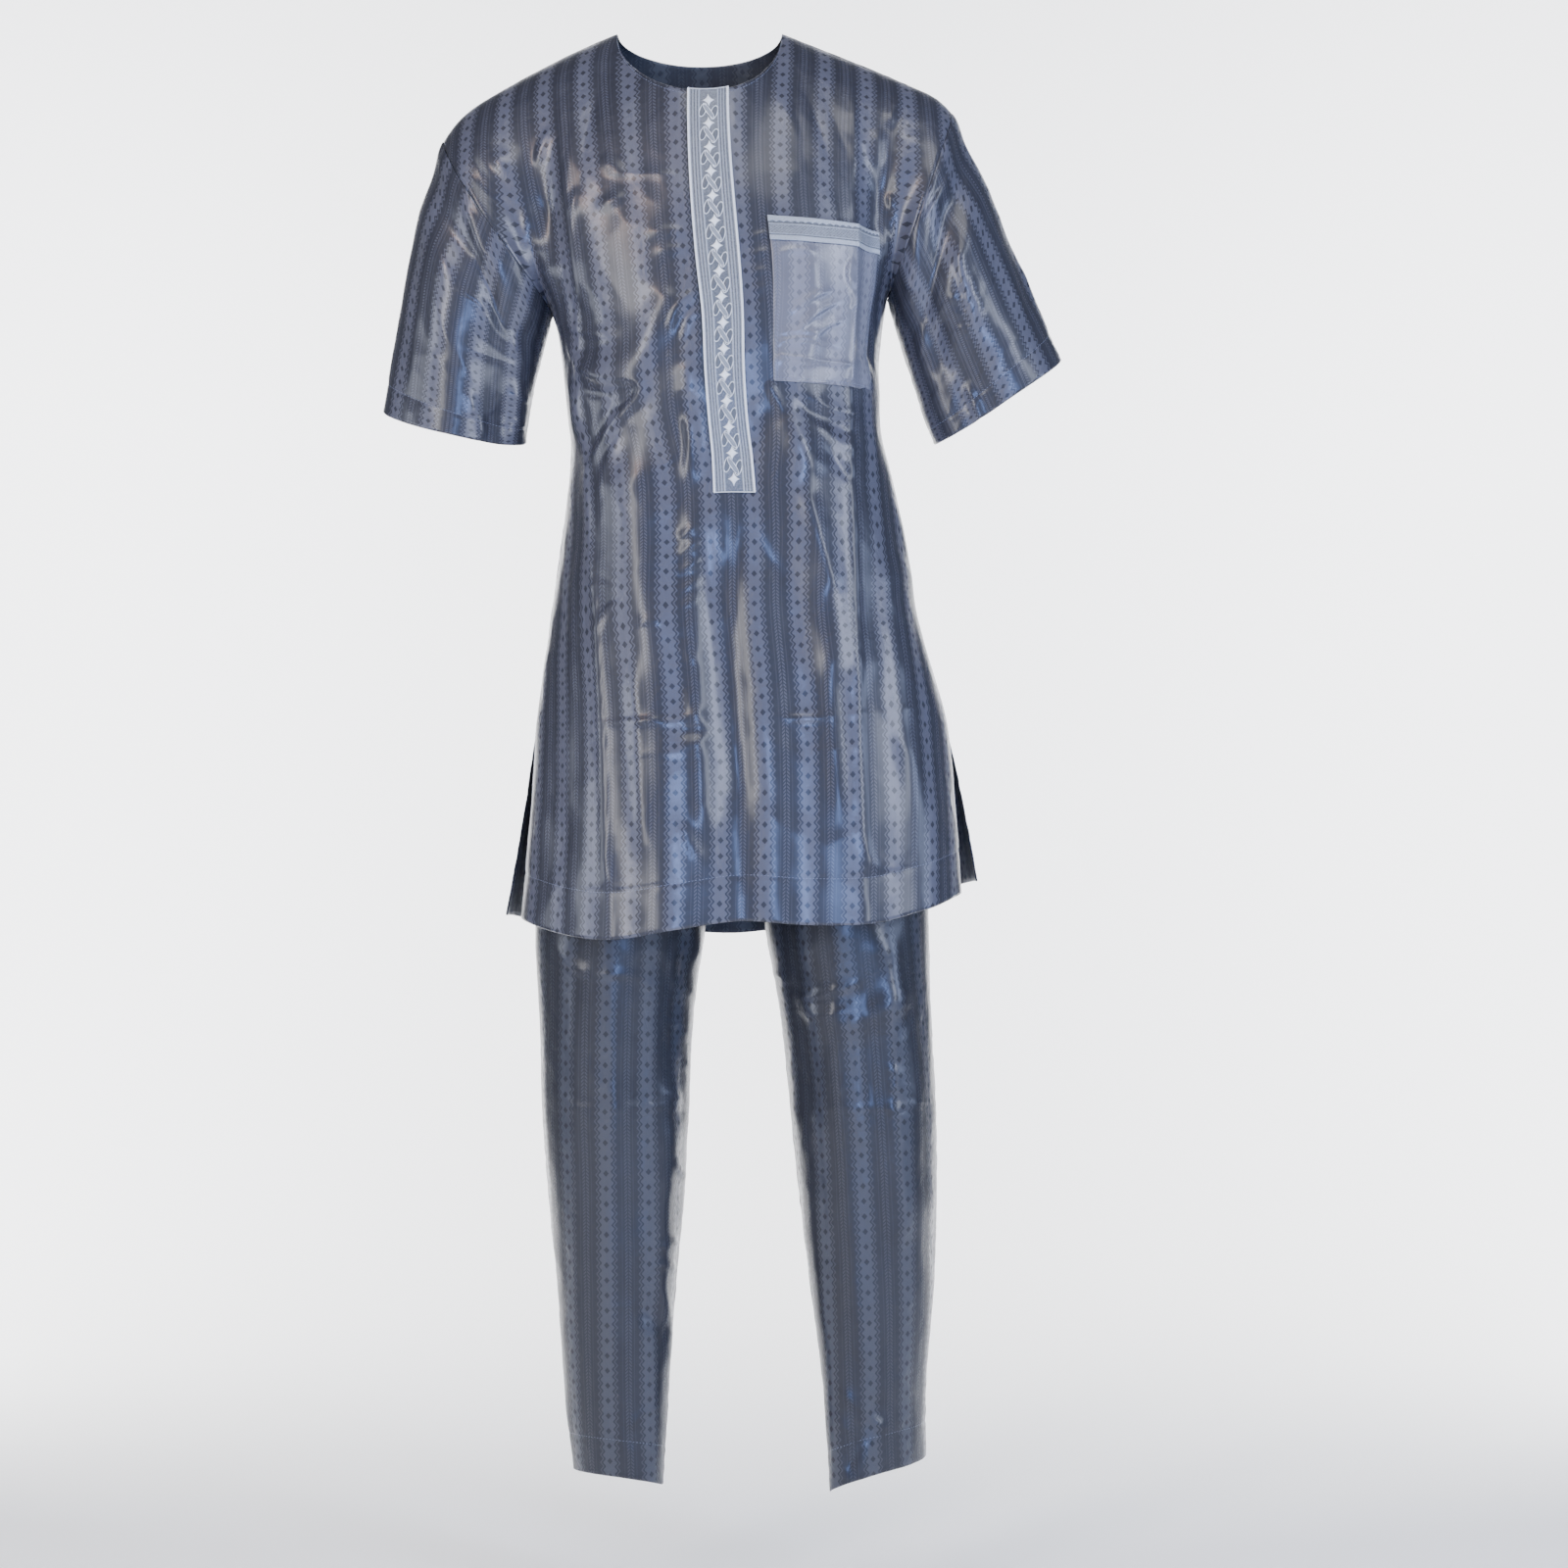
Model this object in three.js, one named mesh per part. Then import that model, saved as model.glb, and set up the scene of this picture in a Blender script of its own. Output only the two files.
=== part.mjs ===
// A man's two-piece suit of glazed striped cotton: a short-sleeved tunic with side vents, a stitched
// ornamental front band and a chest pocket, over tapered trousers. It hangs as it is worn.
//
// Sizes are in millimetres. X runs to the viewer's right, Y away from the viewer and Z up. The origin
// is the middle of the neck opening, level with the two neck points. The names "left" and "right" in
// the tables are the viewer's; the names of the pieces are the wearer's.
import * as THREE from "three";

// Driving sizes
const CLOTH = 1.5; // wall of the cloth
const HEM_WALL = 2.4; // the cloth turned up at a hem
const SEAM_GAP = 0.44; // between two pieces along a seam
const ARMPIT_STEP = 0.7; // how far a sleeve's edge steps back where it turns under the arm
const LIFT = 0.35; // between a panel and what is sewn on it
const HEM_DEPTH = 44; // turned up at the tunic's hem
const LEG_HEM_DEPTH = 38; // turned up at a trouser hem
const SQUARENESS = 2.4; // exponent of the torso's rounded section
const VENT_TOP = -706; // where the side seams end
const VENT_FOOT = -900; // where the vents have their full spread
const FRONT = -1;
const BACK = 1;

const CLOTH_COLOUR = 0x66709a;
const BAND_COLOUR = 0xb9bec6;

// Torso of the tunic: the side seams and the depth in front and behind, from the top down
const TORSO = [
  { z: -262, left: -158, right: 191, front: 117, back: 114 },
  { z: -300, left: -145, right: 185, front: 119, back: 113 },
  { z: -356, left: -137, right: 181, front: 118, back: 107 },
  { z: -404, left: -132, right: 183, front: 114, back: 102 },
  { z: -442, left: -133, right: 192, front: 113, back: 101 },
  { z: -514, left: -142, right: 208, front: 116, back: 107 },
  { z: -586, left: -152, right: 218, front: 122, back: 118 },
  { z: -658, left: -161, right: 239, front: 130, back: 127 },
  { z: -706, left: -167, right: 251, front: 136, back: 132 },
  { z: -800, left: -172, right: 259, front: 145, back: 140 },
  { z: -930, left: -182, right: 265, front: 153, back: 149 },
];

// Hem of each panel, from its left edge (-1) to its right edge (1)
const HEM = {
  [FRONT]: [
    { across: -1, z: -896 },
    { across: -0.8, z: -908 },
    { across: -0.55, z: -913 },
    { across: -0.25, z: -902 },
    { across: 0, z: -894 },
    { across: 0.3, z: -898 },
    { across: 0.58, z: -897 },
    { across: 0.82, z: -884 },
    { across: 1, z: -871 },
  ],
  [BACK]: [
    { across: -1, z: -896 },
    { across: -0.9, z: -903 },
    { across: -0.5, z: -913 },
    { across: -0.1, z: -920 },
    { across: 0.2, z: -914 },
    { across: 0.55, z: -898 },
    { across: 0.9, z: -869 },
    { across: 1, z: -861 },
  ],
};

// How far each panel's vent edges stand out sideways and away from the side line
const VENT_SPREAD = {
  [FRONT]: { left: 2, right: 2, away: 20 },
  [BACK]: { left: 22, right: 27, away: 22 },
};

// Armpits, where the side seams and the sleeve seams meet
const ARMPIT = { left: -283, right: -268 };

// Neck opening, a round neck with a deep front
const NECK_SHARE = 0.5; // share of a panel's width that ends in the neckline
const NECK = {
  x: -1,
  half: 84,
  lean: 6, // the middle of its front lies to the right of the middle between the neck points
  pointY: -2,
  pointZ: 3,
  [FRONT]: { drop: 76, reach: 78 },
  [BACK]: { drop: 18, reach: 66 },
};

// Shoulder seams from the neck point (0) to the sleeve seam (1)
const SHOULDER = {
  left: [
    { f: 0, x: -85, z: 3 },
    { f: 0.25, x: -131, z: -18 },
    { f: 0.5, x: -175, z: -41 },
    { f: 0.75, x: -222, z: -68 },
    { f: 0.88, x: -245, z: -86 },
    { f: 1, x: -262, z: -109 },
  ],
  right: [
    { f: 0, x: 83, z: 3 },
    { f: 0.25, x: 131, z: -17 },
    { f: 0.5, x: 175, z: -35 },
    { f: 0.75, x: 217, z: -53 },
    { f: 0.88, x: 239, z: -64 },
    { f: 1, x: 257, z: -80 },
  ],
};
const SHOULDER_TIP_Y = -12;

// How the cloth leaves the neckline, the shoulder seam and the sleeve seam: [outward, y, z]
const LEAVING = {
  [FRONT]: { neck: [0, -24, -62], shoulder: [0, -60, -31], tip: [-10, -78, -48] },
  [BACK]: { neck: [0, 24, -48], shoulder: [0, 54, 20], tip: [-8, 80, -12] },
};
const ARMPIT_LEAVING = { outward: 4, away: 92, up: 14 };

// Sleeves: the hem's inner and outer ends, its half depth, how far its front dips and its back rises,
// and the ways that the cloth runs along the underarm and over the shoulder, at its start and its end
const SLEEVE = {
  left: {
    inner: [-178, -414],
    outer: [-324, -381],
    halfDepth: 48,
    tilt: 13,
    under: { start: [-0.27, -0.96], end: [-0.09, -1] },
    over: { start: [-0.36, -0.93], end: [-0.18, -0.98] },
  },
  right: {
    inner: [238, -415],
    outer: [368, -329],
    halfDepth: 50,
    tilt: 8,
    under: { start: [0.29, -0.96], end: [0.38, -0.93] },
    over: { start: [0.43, -0.9], end: [0.42, -0.91] },
  },
};
const SLEEVE_LENGTH = { under: 135, over: 270 };

// Trouser legs from the crotch down: outer and inner edges, and the depth in front and behind
const CROTCH = { x: 38, y: 2, z: -735 };
const LEGS = {
  left: [
    { z: -735, outer: -160, inner: 38, front: -102, back: 110 },
    { z: -800, outer: -165, inner: 24, front: -96, back: 102 },
    { z: -860, outer: -167, inner: 12, front: -91, back: 96 },
    { z: -922, outer: -168, inner: 3, front: -86, back: 90 },
    { z: -994, outer: -164, inner: -7, front: -81, back: 82 },
    { z: -1090, outer: -162, inner: -12, front: -76, back: 74 },
    { z: -1186, outer: -155, inner: -17, front: -69, back: 69 },
    { z: -1282, outer: -146, inner: -26, front: -60, back: 66 },
    { z: -1378, outer: -140, inner: -32, front: -50, back: 66 },
    { z: -1490, outer: -127, inner: -39, front: -40, back: 68 },
  ],
  right: [
    { z: -735, outer: 226, inner: 38, front: -102, back: 110 },
    { z: -800, outer: 229, inner: 50, front: -96, back: 102 },
    { z: -860, outer: 231, inner: 59, front: -91, back: 96 },
    { z: -922, outer: 233, inner: 68, front: -86, back: 90 },
    { z: -994, outer: 235, inner: 81, front: -81, back: 82 },
    { z: -1090, outer: 240, inner: 91, front: -76, back: 74 },
    { z: -1186, outer: 241, inner: 101, front: -69, back: 69 },
    { z: -1282, outer: 238, inner: 113, front: -60, back: 66 },
    { z: -1378, outer: 231, inner: 125, front: -50, back: 66 },
    { z: -1490, outer: 232, inner: 132, front: -40, back: 68 },
  ],
};
// Height of a leg's hem at its outer and inner seams, how far the inner seam comes forward there, and
// how far the hem rises at the middle of the front
const LEG_HEM = {
  left: { outer: -1462, inner: -1473, forward: 12, rise: 9 },
  right: { outer: -1452, inner: -1477, forward: 26, rise: 9 },
};
const FORWARD_FROM = -1100; // above this the leg's seams lie level with each other

// Seat of the trousers from the waist to the crotch
const SEAT = [
  { z: -425, left: -118, right: 172, front: -90, back: 84 },
  { z: -475, left: -121, right: 181, front: -93, back: 88 },
  { z: -530, left: -128, right: 194, front: -97, back: 96 },
  { z: -586, left: -137, right: 206, front: -101, back: 110 },
  { z: -658, left: -149, right: 219, front: -104, back: 117 },
  { z: -735, left: -160, right: 226, front: -102, back: 110 },
];
const WAIST = -425;
const RISE_CURVE = 78; // height over which the centre seam turns from the crotch to upright
const WAISTBAND = { height: 40, wall: 2.6, gap: 0.5 };

// Folds and pressed creases of the tunic, in the view from the front or the back. A crease is sharp,
// a fold is soft. Depth is out of the cloth, and minus is a trough.
const TUNIC_FOLDS = {
  [FRONT]: [
    { kind: "crease", width: 26, depth: 5, path: [[-126, -90], [-131, -290], [-113, -480], [-95, -666], [-81, -925]] },
    { kind: "crease", width: 26, depth: 5, path: [[152, -95], [149, -367], [153, -560], [157, -695], [164, -915]] },
    { kind: "fold", width: 30, depth: 8, path: [[-66, -470], [-44, -640], [-28, -900]] },
    { kind: "fold", width: 24, depth: -6, path: [[6, -560], [32, -720], [48, -900]] },
    { kind: "fold", width: 22, depth: 6, path: [[100, -430], [122, -560], [136, -640]] },
    { kind: "fold", width: 26, depth: -5, path: [[92, -560], [100, -700], [104, -900]] },
    { kind: "fold", width: 24, depth: 6, path: [[196, -560], [214, -720], [226, -900]] },
    { kind: "fold", width: 24, depth: -6, path: [[-122, -430], [-134, -620], [-142, -900]] },
    { kind: "fold", width: 15, depth: -6, path: [[-150, -190], [-134, -250], [-118, -330]] },
    { kind: "fold", width: 13, depth: 5, path: [[-196, -140], [-172, -190], [-150, -246]] },
    { kind: "fold", width: 15, depth: -6, path: [[183, -170], [172, -240], [168, -330]] },
    { kind: "fold", width: 13, depth: 5, path: [[212, -120], [196, -170], [188, -220]] },
    { kind: "fold", width: 16, depth: 4, path: [[-100, -352], [-60, -344], [-30, -290]] },
    { kind: "fold", width: 20, depth: -4, path: [[60, -400], [46, -470], [70, -540]] },
  ],
  [BACK]: [
    { kind: "crease", width: 26, depth: 5, path: [[-122, -70], [-127, -290], [-112, -480], [-96, -700], [-88, -925]] },
    { kind: "crease", width: 26, depth: 5, path: [[150, -70], [148, -367], [153, -560], [160, -720], [168, -925]] },
    { kind: "fold", width: 30, depth: 7, path: [[-30, -430], [-36, -640], [-50, -910]] },
    { kind: "fold", width: 26, depth: -6, path: [[24, -400], [34, -600], [30, -910]] },
    { kind: "fold", width: 28, depth: 7, path: [[84, -460], [94, -700], [106, -910]] },
    { kind: "fold", width: 22, depth: -6, path: [[-128, -470], [-136, -640], [-146, -900]] },
    { kind: "fold", width: 22, depth: -6, path: [[186, -480], [206, -640], [222, -900]] },
    { kind: "fold", width: 16, depth: -6, path: [[-152, -200], [-132, -270], [-112, -350]] },
    { kind: "fold", width: 16, depth: -6, path: [[186, -190], [170, -262], [152, -344]] },
    { kind: "fold", width: 22, depth: 5, path: [[-84, -120], [20, -150], [120, -118]] },
  ],
};

// Folds of the sleeves: how far round from the underarm (0) over the front to the top (0.5), and how
// far down (0 to 1)
const SLEEVE_FOLDS = {
  left: [
    { width: 26, depth: -7, path: [[0.42, 0.08], [0.27, 0.22], [0.14, 0.32]] },
    { width: 26, depth: 6, path: [[0.33, 0.34], [0.28, 0.7], [0.26, 1]] },
    { width: 26, depth: -6, path: [[0.17, 0.5], [0.14, 0.75], [0.12, 1]] },
    { width: 26, depth: -6, path: [[0.6, 0.1], [0.75, 0.22], [0.86, 0.32]] },
    { width: 28, depth: 6, path: [[0.72, 0.4], [0.74, 0.7], [0.75, 1]] },
  ],
  right: [
    { width: 26, depth: -7, path: [[0.42, 0.09], [0.28, 0.22], [0.15, 0.33]] },
    { width: 28, depth: 7, path: [[0.3, 0.34], [0.31, 0.6], [0.33, 1]] },
    { width: 28, depth: -7, path: [[0.17, 0.5], [0.18, 0.7], [0.19, 1]] },
    { width: 26, depth: -6, path: [[0.6, 0.1], [0.74, 0.22], [0.86, 0.32]] },
    { width: 28, depth: 6, path: [[0.7, 0.4], [0.71, 0.7], [0.72, 1]] },
  ],
};

// Folds of the trousers: how far from the side seam (0) to the inner seam (1), and the height
const LEG_FOLDS = {
  left: [
    { face: FRONT, width: 18, depth: -5, path: [[0.82, -820], [0.8, -960], [0.84, -1090]] },
    { face: FRONT, width: 14, depth: 5, path: [[0.62, -760], [0.74, -860], [0.9, -930]] },
    { face: FRONT, width: 16, depth: 4, path: [[0.8, -1080], [0.76, -1200], [0.82, -1300]] },
    { face: FRONT, width: 12, depth: -4, path: [[0.7, -1290], [0.85, -1312]] },
    { face: BACK, width: 18, depth: -6, path: [[0.25, -1060], [0.5, -1085], [0.8, -1070]] },
    { face: BACK, width: 18, depth: -6, path: [[0.6, -760], [0.5, -860], [0.45, -980]] },
    { face: BACK, width: 18, depth: 5, path: [[0.3, -1150], [0.5, -1168], [0.75, -1150]] },
  ],
  right: [
    { face: FRONT, width: 18, depth: -5, path: [[0.82, -820], [0.78, -950], [0.8, -1080]] },
    { face: FRONT, width: 18, depth: 5, path: [[0.35, -930], [0.3, -1060], [0.34, -1200]] },
    { face: FRONT, width: 14, depth: 4, path: [[0.3, -975], [0.55, -1000], [0.75, -985]] },
    { face: FRONT, width: 14, depth: -4, path: [[0.5, -1390], [0.7, -1440]] },
    { face: BACK, width: 18, depth: -6, path: [[0.25, -1060], [0.5, -1082], [0.8, -1075]] },
    { face: BACK, width: 18, depth: -6, path: [[0.6, -760], [0.5, -860], [0.45, -980]] },
    { face: BACK, width: 18, depth: 5, path: [[0.3, -1150], [0.5, -1165], [0.75, -1155]] },
  ],
};

// Ornamental band down the front and the pocket: their edges across the front panel, the height of
// the band's foot and the heights of the pocket's three edges at its two sides
const BAND_EDGES = [-0.0575, 0.0955];
const BAND_FOOT = -475;
const POCKET_EDGES = [0.21, 0.7];
const POCKET = {
  bottom: { left: -366, right: -369 },
  trim: { left: -227, right: -232 },
  top: { left: -203, right: -211 },
};
const POCKET_FADE = { left: 0.3, right: 0.3 }; // width over which the rows beside it become level

// Columns of the tunic's panels. Both panels share those of the shoulders, and the front has one at
// each edge of what is sewn on it.
const LEFT_SHOULDER = [-1, -0.93, -0.85, -0.76, -0.67, -0.58, -NECK_SHARE];
const RIGHT_SHOULDER = [NECK_SHARE, 0.6, POCKET_EDGES[1], 0.78, 0.86, 0.93, 1];
const FRONT_NECK = [
  -0.41, -0.32, -0.23, -0.14, BAND_EDGES[0], 0.019, BAND_EDGES[1], 0.15, POCKET_EDGES[0], 0.3, 0.4,
];
const BACK_NECK = [-0.4, -0.3, -0.2, -0.1, 0, 0.1, 0.2, 0.3, 0.4];
const COLUMNS = {
  [FRONT]: [...LEFT_SHOULDER, ...FRONT_NECK, ...RIGHT_SHOULDER],
  [BACK]: [...LEFT_SHOULDER, ...BACK_NECK, ...RIGHT_SHOULDER],
};
const SKIRT_CELLS = 13;
const YOKE_ROWS = [1.1, 1.2, 1.32, 1.44, 1.56, 1.68, 1.8, 1.91, 2];
const SLEEVE_CELLS = 11;
const LEG_COLUMNS = 9;
const LEG_CELLS = 16;
const SEAT_CELLS = 6;
const TINY = 1e-3;

const down = new THREE.Vector3(0, 0, -1);
const mix = (a, b, t) => a + (b - a) * t;
const smooth = (t) => {
  const c = Math.min(1, Math.max(0, t));
  return c * c * (3 - 2 * c);
};
const point = (x, y, z) => new THREE.Vector3(x, y, z);

// The row of a table at any place between its rows, on smooth curves through them
function rowAt(table, key, at) {
  const up = table[table.length - 1][key] > table[0][key];
  const rows = up ? table : [...table].reverse();
  const last = rows.length - 1;
  const k = Math.min(last - 1, Math.max(0, rows.findIndex((row) => row[key] > at) - 1));
  const i = at >= rows[last][key] ? last - 1 : k;
  const span = rows[i + 1][key] - rows[i][key];
  const t = Math.min(1.2, Math.max(-0.2, (at - rows[i][key]) / span));
  const slope = (j, name) => {
    const a = rows[Math.max(0, j - 1)];
    const b = rows[Math.min(last, j + 1)];
    return (b[name] - a[name]) / (b[key] - a[key]);
  };
  const found = {};
  for (const name of Object.keys(rows[0])) {
    const a = rows[i][name];
    const b = rows[i + 1][name];
    const rise = slope(i, name) * span;
    const fall = slope(i + 1, name) * span;
    const bend = (1 - t) * (rise - (b - a)) * (1 - t) * t - t * (fall - (b - a)) * (1 - t) * t;
    found[name] = mix(a, b, t) + bend;
  }
  return found;
}

// Distance from a place to a path of straight stretches, with each axis in millimetres
function distanceTo(path, a, b, scaleA = 1, scaleB = 1) {
  let best = Infinity;
  for (let i = 0; i + 1 < path.length; i++) {
    const [ax, az] = [path[i][0] * scaleA, path[i][1] * scaleB];
    const [bx, bz] = [path[i + 1][0] * scaleA, path[i + 1][1] * scaleB];
    const [px, pz] = [a * scaleA - ax, b * scaleB - az];
    const [dx, dz] = [bx - ax, bz - az];
    const t = Math.min(1, Math.max(0, (px * dx + pz * dz) / (dx * dx + dz * dz)));
    best = Math.min(best, Math.hypot(px - dx * t, pz - dz * t));
  }
  return best;
}

function foldHeight(folds, a, b, scaleA, scaleB) {
  let height = 0;
  for (const fold of folds) {
    const d = distanceTo(fold.path, a, b, scaleA, scaleB) / fold.width;
    height += fold.depth * (fold.kind === "crease" ? Math.exp(-d) : Math.exp(-d * d));
  }
  return height;
}

// A point of a cubic curve between two ends with their handles
function curve(p0, p1, p2, p3, t) {
  const q = 1 - t;
  return point(0, 0, 0)
    .addScaledVector(p0, q * q * q)
    .addScaledVector(p1, 3 * q * q * t)
    .addScaledVector(p2, 3 * q * t * t)
    .addScaledVector(p3, t * t * t);
}

// Rounded half section: s runs from the left seam (-1) to the right seam (1)
function section(s) {
  const angle = (s * Math.PI) / 2;
  const [across, ahead] = [Math.sin(angle), Math.cos(angle)];
  const size = (Math.abs(across) ** SQUARENESS + Math.abs(ahead) ** SQUARENESS) ** (-1 / SQUARENESS);
  return [across * size, ahead * size];
}

// The tunic's body below the armpits at height z
function bodyPoint(face, s, z) {
  const row = rowAt(TORSO, "z", z);
  const [across, ahead] = section(s);
  const spread = VENT_SPREAD[face];
  const open = Math.max(0, (VENT_TOP - z) / (VENT_TOP - VENT_FOOT));
  const left = row.left - spread.left * open;
  const right = row.right + spread.right * open;
  const depth = face === FRONT ? row.front : row.back;
  return point(
    mix(left, right, (across + 1) / 2),
    face * (depth * ahead + spread.away * open * (1 - ahead)),
    z,
  );
}

// Where the tunic's panels end at the top: the neckline, then the shoulder seams
function topPoint(face, s) {
  if (Math.abs(s) <= NECK_SHARE + 1e-9) {
    const angle = ((s / NECK_SHARE) * Math.PI) / 2;
    const { drop, reach } = NECK[face];
    return point(
      NECK.x + NECK.half * Math.sin(angle) + (face === FRONT ? NECK.lean * Math.cos(angle) ** 2 : 0),
      NECK.pointY + face * reach * Math.cos(angle),
      NECK.pointZ - drop * Math.cos(angle),
    );
  }
  const f = (Math.abs(s) - NECK_SHARE) / (1 - NECK_SHARE);
  const row = rowAt(s < 0 ? SHOULDER.left : SHOULDER.right, "f", f);
  return point(row.x, mix(NECK.pointY, SHOULDER_TIP_Y, f), row.z);
}

// The tunic's cloth without folds: h runs from the hem (0) past the armpit (1) to the top (2)
function plainTunic(face, s, h) {
  const armpit = mix(ARMPIT.left, ARMPIT.right, (s + 1) / 2);
  const hem = rowAt(HEM[face], "across", section(s)[0]).z;
  if (h <= 1) return bodyPoint(face, s, mix(hem, armpit, h));
  const side = Math.sign(s);
  const low = bodyPoint(face, s, armpit);
  const lower = bodyPoint(face, s, armpit - 1);
  const high = topPoint(face, s);
  const rise = (high.z - low.z) / 3;
  const edge = Math.abs(s) ** 6;
  const upright = low.clone().sub(lower).multiplyScalar(rise).add(low);
  const round = point(
    low.x + side * ARMPIT_LEAVING.outward,
    low.y + face * ARMPIT_LEAVING.away,
    low.z + ARMPIT_LEAVING.up,
  );
  const leaving = LEAVING[face];
  const onShoulder = smooth((Math.abs(s) - 0.3 * NECK_SHARE) / (0.85 * NECK_SHARE));
  const handle = [0, 1, 2].map((i) =>
    mix(mix(leaving.neck[i], leaving.shoulder[i], onShoulder), leaving.tip[i], edge),
  );
  return curve(
    low,
    upright.lerp(round, edge),
    point(high.x + side * handle[0], high.y + handle[1], high.z + handle[2]),
    high,
    h - 1,
  );
}

// Rows of points from a function of two shares
const gridOf = (rows, columns, at) => rows.map((r) => columns.map((c) => at(c, r)));
const evenly = (cells, from = 0, to = 1) =>
  Array.from({ length: cells + 1 }, (_, i) => mix(from, to, i / cells));

// Outward normals of a grid by its neighbours, with turn saying which side is out
function normalsOf(grid, turn, round = false) {
  const last = grid.length - 1;
  const across = grid[0].length;
  return grid.map((row, r) =>
    row.map((_, c) => {
      const west = round ? row[(c + across - 1) % across] : row[Math.max(0, c - 1)];
      const east = round ? row[(c + 1) % across] : row[Math.min(across - 1, c + 1)];
      const along = grid[Math.min(last, r + 1)][c].clone().sub(grid[Math.max(0, r - 1)][c]);
      return east.clone().sub(west).cross(along).multiplyScalar(turn).normalize();
    }),
  );
}

// Two pieces share the normals where they meet, so that their cut edges stay parallel. Where they
// meet in a sharp fold, the guide says which way is out.
function share(a, b, guide = point(0, 0, 0), along = point(0, 0, 0)) {
  const both = a.clone().add(b);
  both.addScaledVector(guide, Math.max(0, 1.6 - both.length()) * 2);
  both.addScaledVector(along, -both.dot(along)).normalize();
  a.copy(both);
  b.copy(both);
}

// Moves a grid's edge point back from the seam, along its own cloth
function stepBack(grid, normals, r, c, r2, c2, by = SEAM_GAP / 2) {
  const away = grid[r2][c2].clone().sub(grid[r][c]);
  away.addScaledVector(normals[r][c], -away.dot(normals[r][c])).normalize();
  grid[r][c].addScaledVector(away, by);
}

// A closed wall between a grid and its copy moved inwards. The wall may vary by row.
function wall(grid, normals, thickness, { lift = 0, round = false, turn = 1 } = {}) {
  const rows = grid.length;
  const columns = grid[0].length;
  const positions = [];
  for (const layer of [0, 1]) {
    grid.forEach((row, r) =>
      row.forEach((p, c) => {
        const raised = typeof lift === "function" ? lift(r, c) : lift;
        const depth = typeof thickness === "function" ? thickness(r, c) : thickness;
        const q = p.clone().addScaledVector(normals[r][c], raised - layer * depth);
        positions.push(q.x, q.y, q.z);
      }),
    );
  }
  const index = [];
  const at = (layer, r, c) => layer * rows * columns + r * columns + (c % columns);
  const quad = (a, b, c, d) => (turn > 0 ? index.push(a, b, c, a, c, d) : index.push(a, c, b, a, d, c));
  const cells = round ? columns : columns - 1;
  for (let r = 0; r < rows - 1; r++) {
    for (let c = 0; c < cells; c++) {
      quad(at(0, r, c), at(0, r, c + 1), at(0, r + 1, c + 1), at(0, r + 1, c));
      quad(at(1, r, c), at(1, r + 1, c), at(1, r + 1, c + 1), at(1, r, c + 1));
    }
  }
  for (let c = 0; c < cells; c++) {
    // The far half of a round edge is split the other way, as the panel's edge that it meets
    const cut = [at(0, 0, c), at(1, 0, c), at(1, 0, c + 1), at(0, 0, c + 1)];
    if (round && c >= cells / 2) cut.push(cut.shift());
    quad(...cut);
    quad(at(0, rows - 1, c), at(0, rows - 1, c + 1), at(1, rows - 1, c + 1), at(1, rows - 1, c));
  }
  for (let r = 0; r < rows - 1 && !round; r++) {
    const e = columns - 1;
    quad(at(0, r, 0), at(0, r + 1, 0), at(1, r + 1, 0), at(1, r, 0));
    quad(at(0, r, e), at(1, r, e), at(1, r + 1, e), at(0, r + 1, e));
  }
  const geometry = new THREE.BufferGeometry();
  geometry.setAttribute("position", new THREE.Float32BufferAttribute(positions, 3));
  geometry.setIndex(index);
  geometry.computeVertexNormals();
  return geometry;
}

// A tunic panel with its folds, and its normals
function tunicPanel(face, columns, rows) {
  const shift = face === FRONT ? alongPocket : (s, h) => h;
  const plain = gridOf(rows, columns, (s, h) => plainTunic(face, s, shift(s, h)));
  const turn = face === FRONT ? 1 : -1;
  const flat = normalsOf(plain, turn);
  plain.forEach((row, r) =>
    row.forEach((p, c) => {
      const seams = (1 - columns[c] ** 12) * (1 - Math.max(0, rows[r] - 1) ** 10);
      p.addScaledVector(flat[r][c], seams * foldHeight(TUNIC_FOLDS[face], p.x, p.z));
    }),
  );
  return { grid: plain, normals: normalsOf(plain, turn), turn, columns, rows };
}

// The share of the height at which a column of the front has height z
function shareAt(s, z) {
  let [low, high] = [0, 2];
  while (high - low > TINY / 10) {
    const middle = (low + high) / 2;
    if (plainTunic(FRONT, s, middle).z < z) low = middle;
    else high = middle;
  }
  return (low + high) / 2;
}

// Rows of the front panel, with one along each edge of what is sewn on it
const [pocketLeft, pocketRight] = POCKET_EDGES;
const pocketMiddle = (pocketLeft + pocketRight) / 2;
const edgeRow = {};
for (const name of Object.keys(POCKET)) {
  edgeRow[name] = shareAt(pocketMiddle, (POCKET[name].left + POCKET[name].right) / 2);
}
const bandFootRow = shareAt((BAND_EDGES[0] + BAND_EDGES[1]) / 2, BAND_FOOT);
const hemRow = shareAt(0, rowAt(HEM[FRONT], "across", 0).z + HEM_DEPTH);
const tunicRows = [...evenly(SKIRT_CELLS), ...YOKE_ROWS];
const armpitRow = SKIRT_CELLS;
const topRow = tunicRows.length - 1;
const keptRows = [0, armpitRow, topRow];
for (const wanted of [hemRow, bandFootRow, ...Object.values(edgeRow)]) {
  const free = tunicRows.map((_, i) => i).filter((i) => !keptRows.includes(i));
  const gap = (i) => Math.abs(tunicRows[i] - wanted);
  const nearest = free.reduce((best, i) => (gap(i) < gap(best) ? i : best));
  tunicRows[nearest] = wanted;
  keptRows.push(nearest);
}

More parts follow.
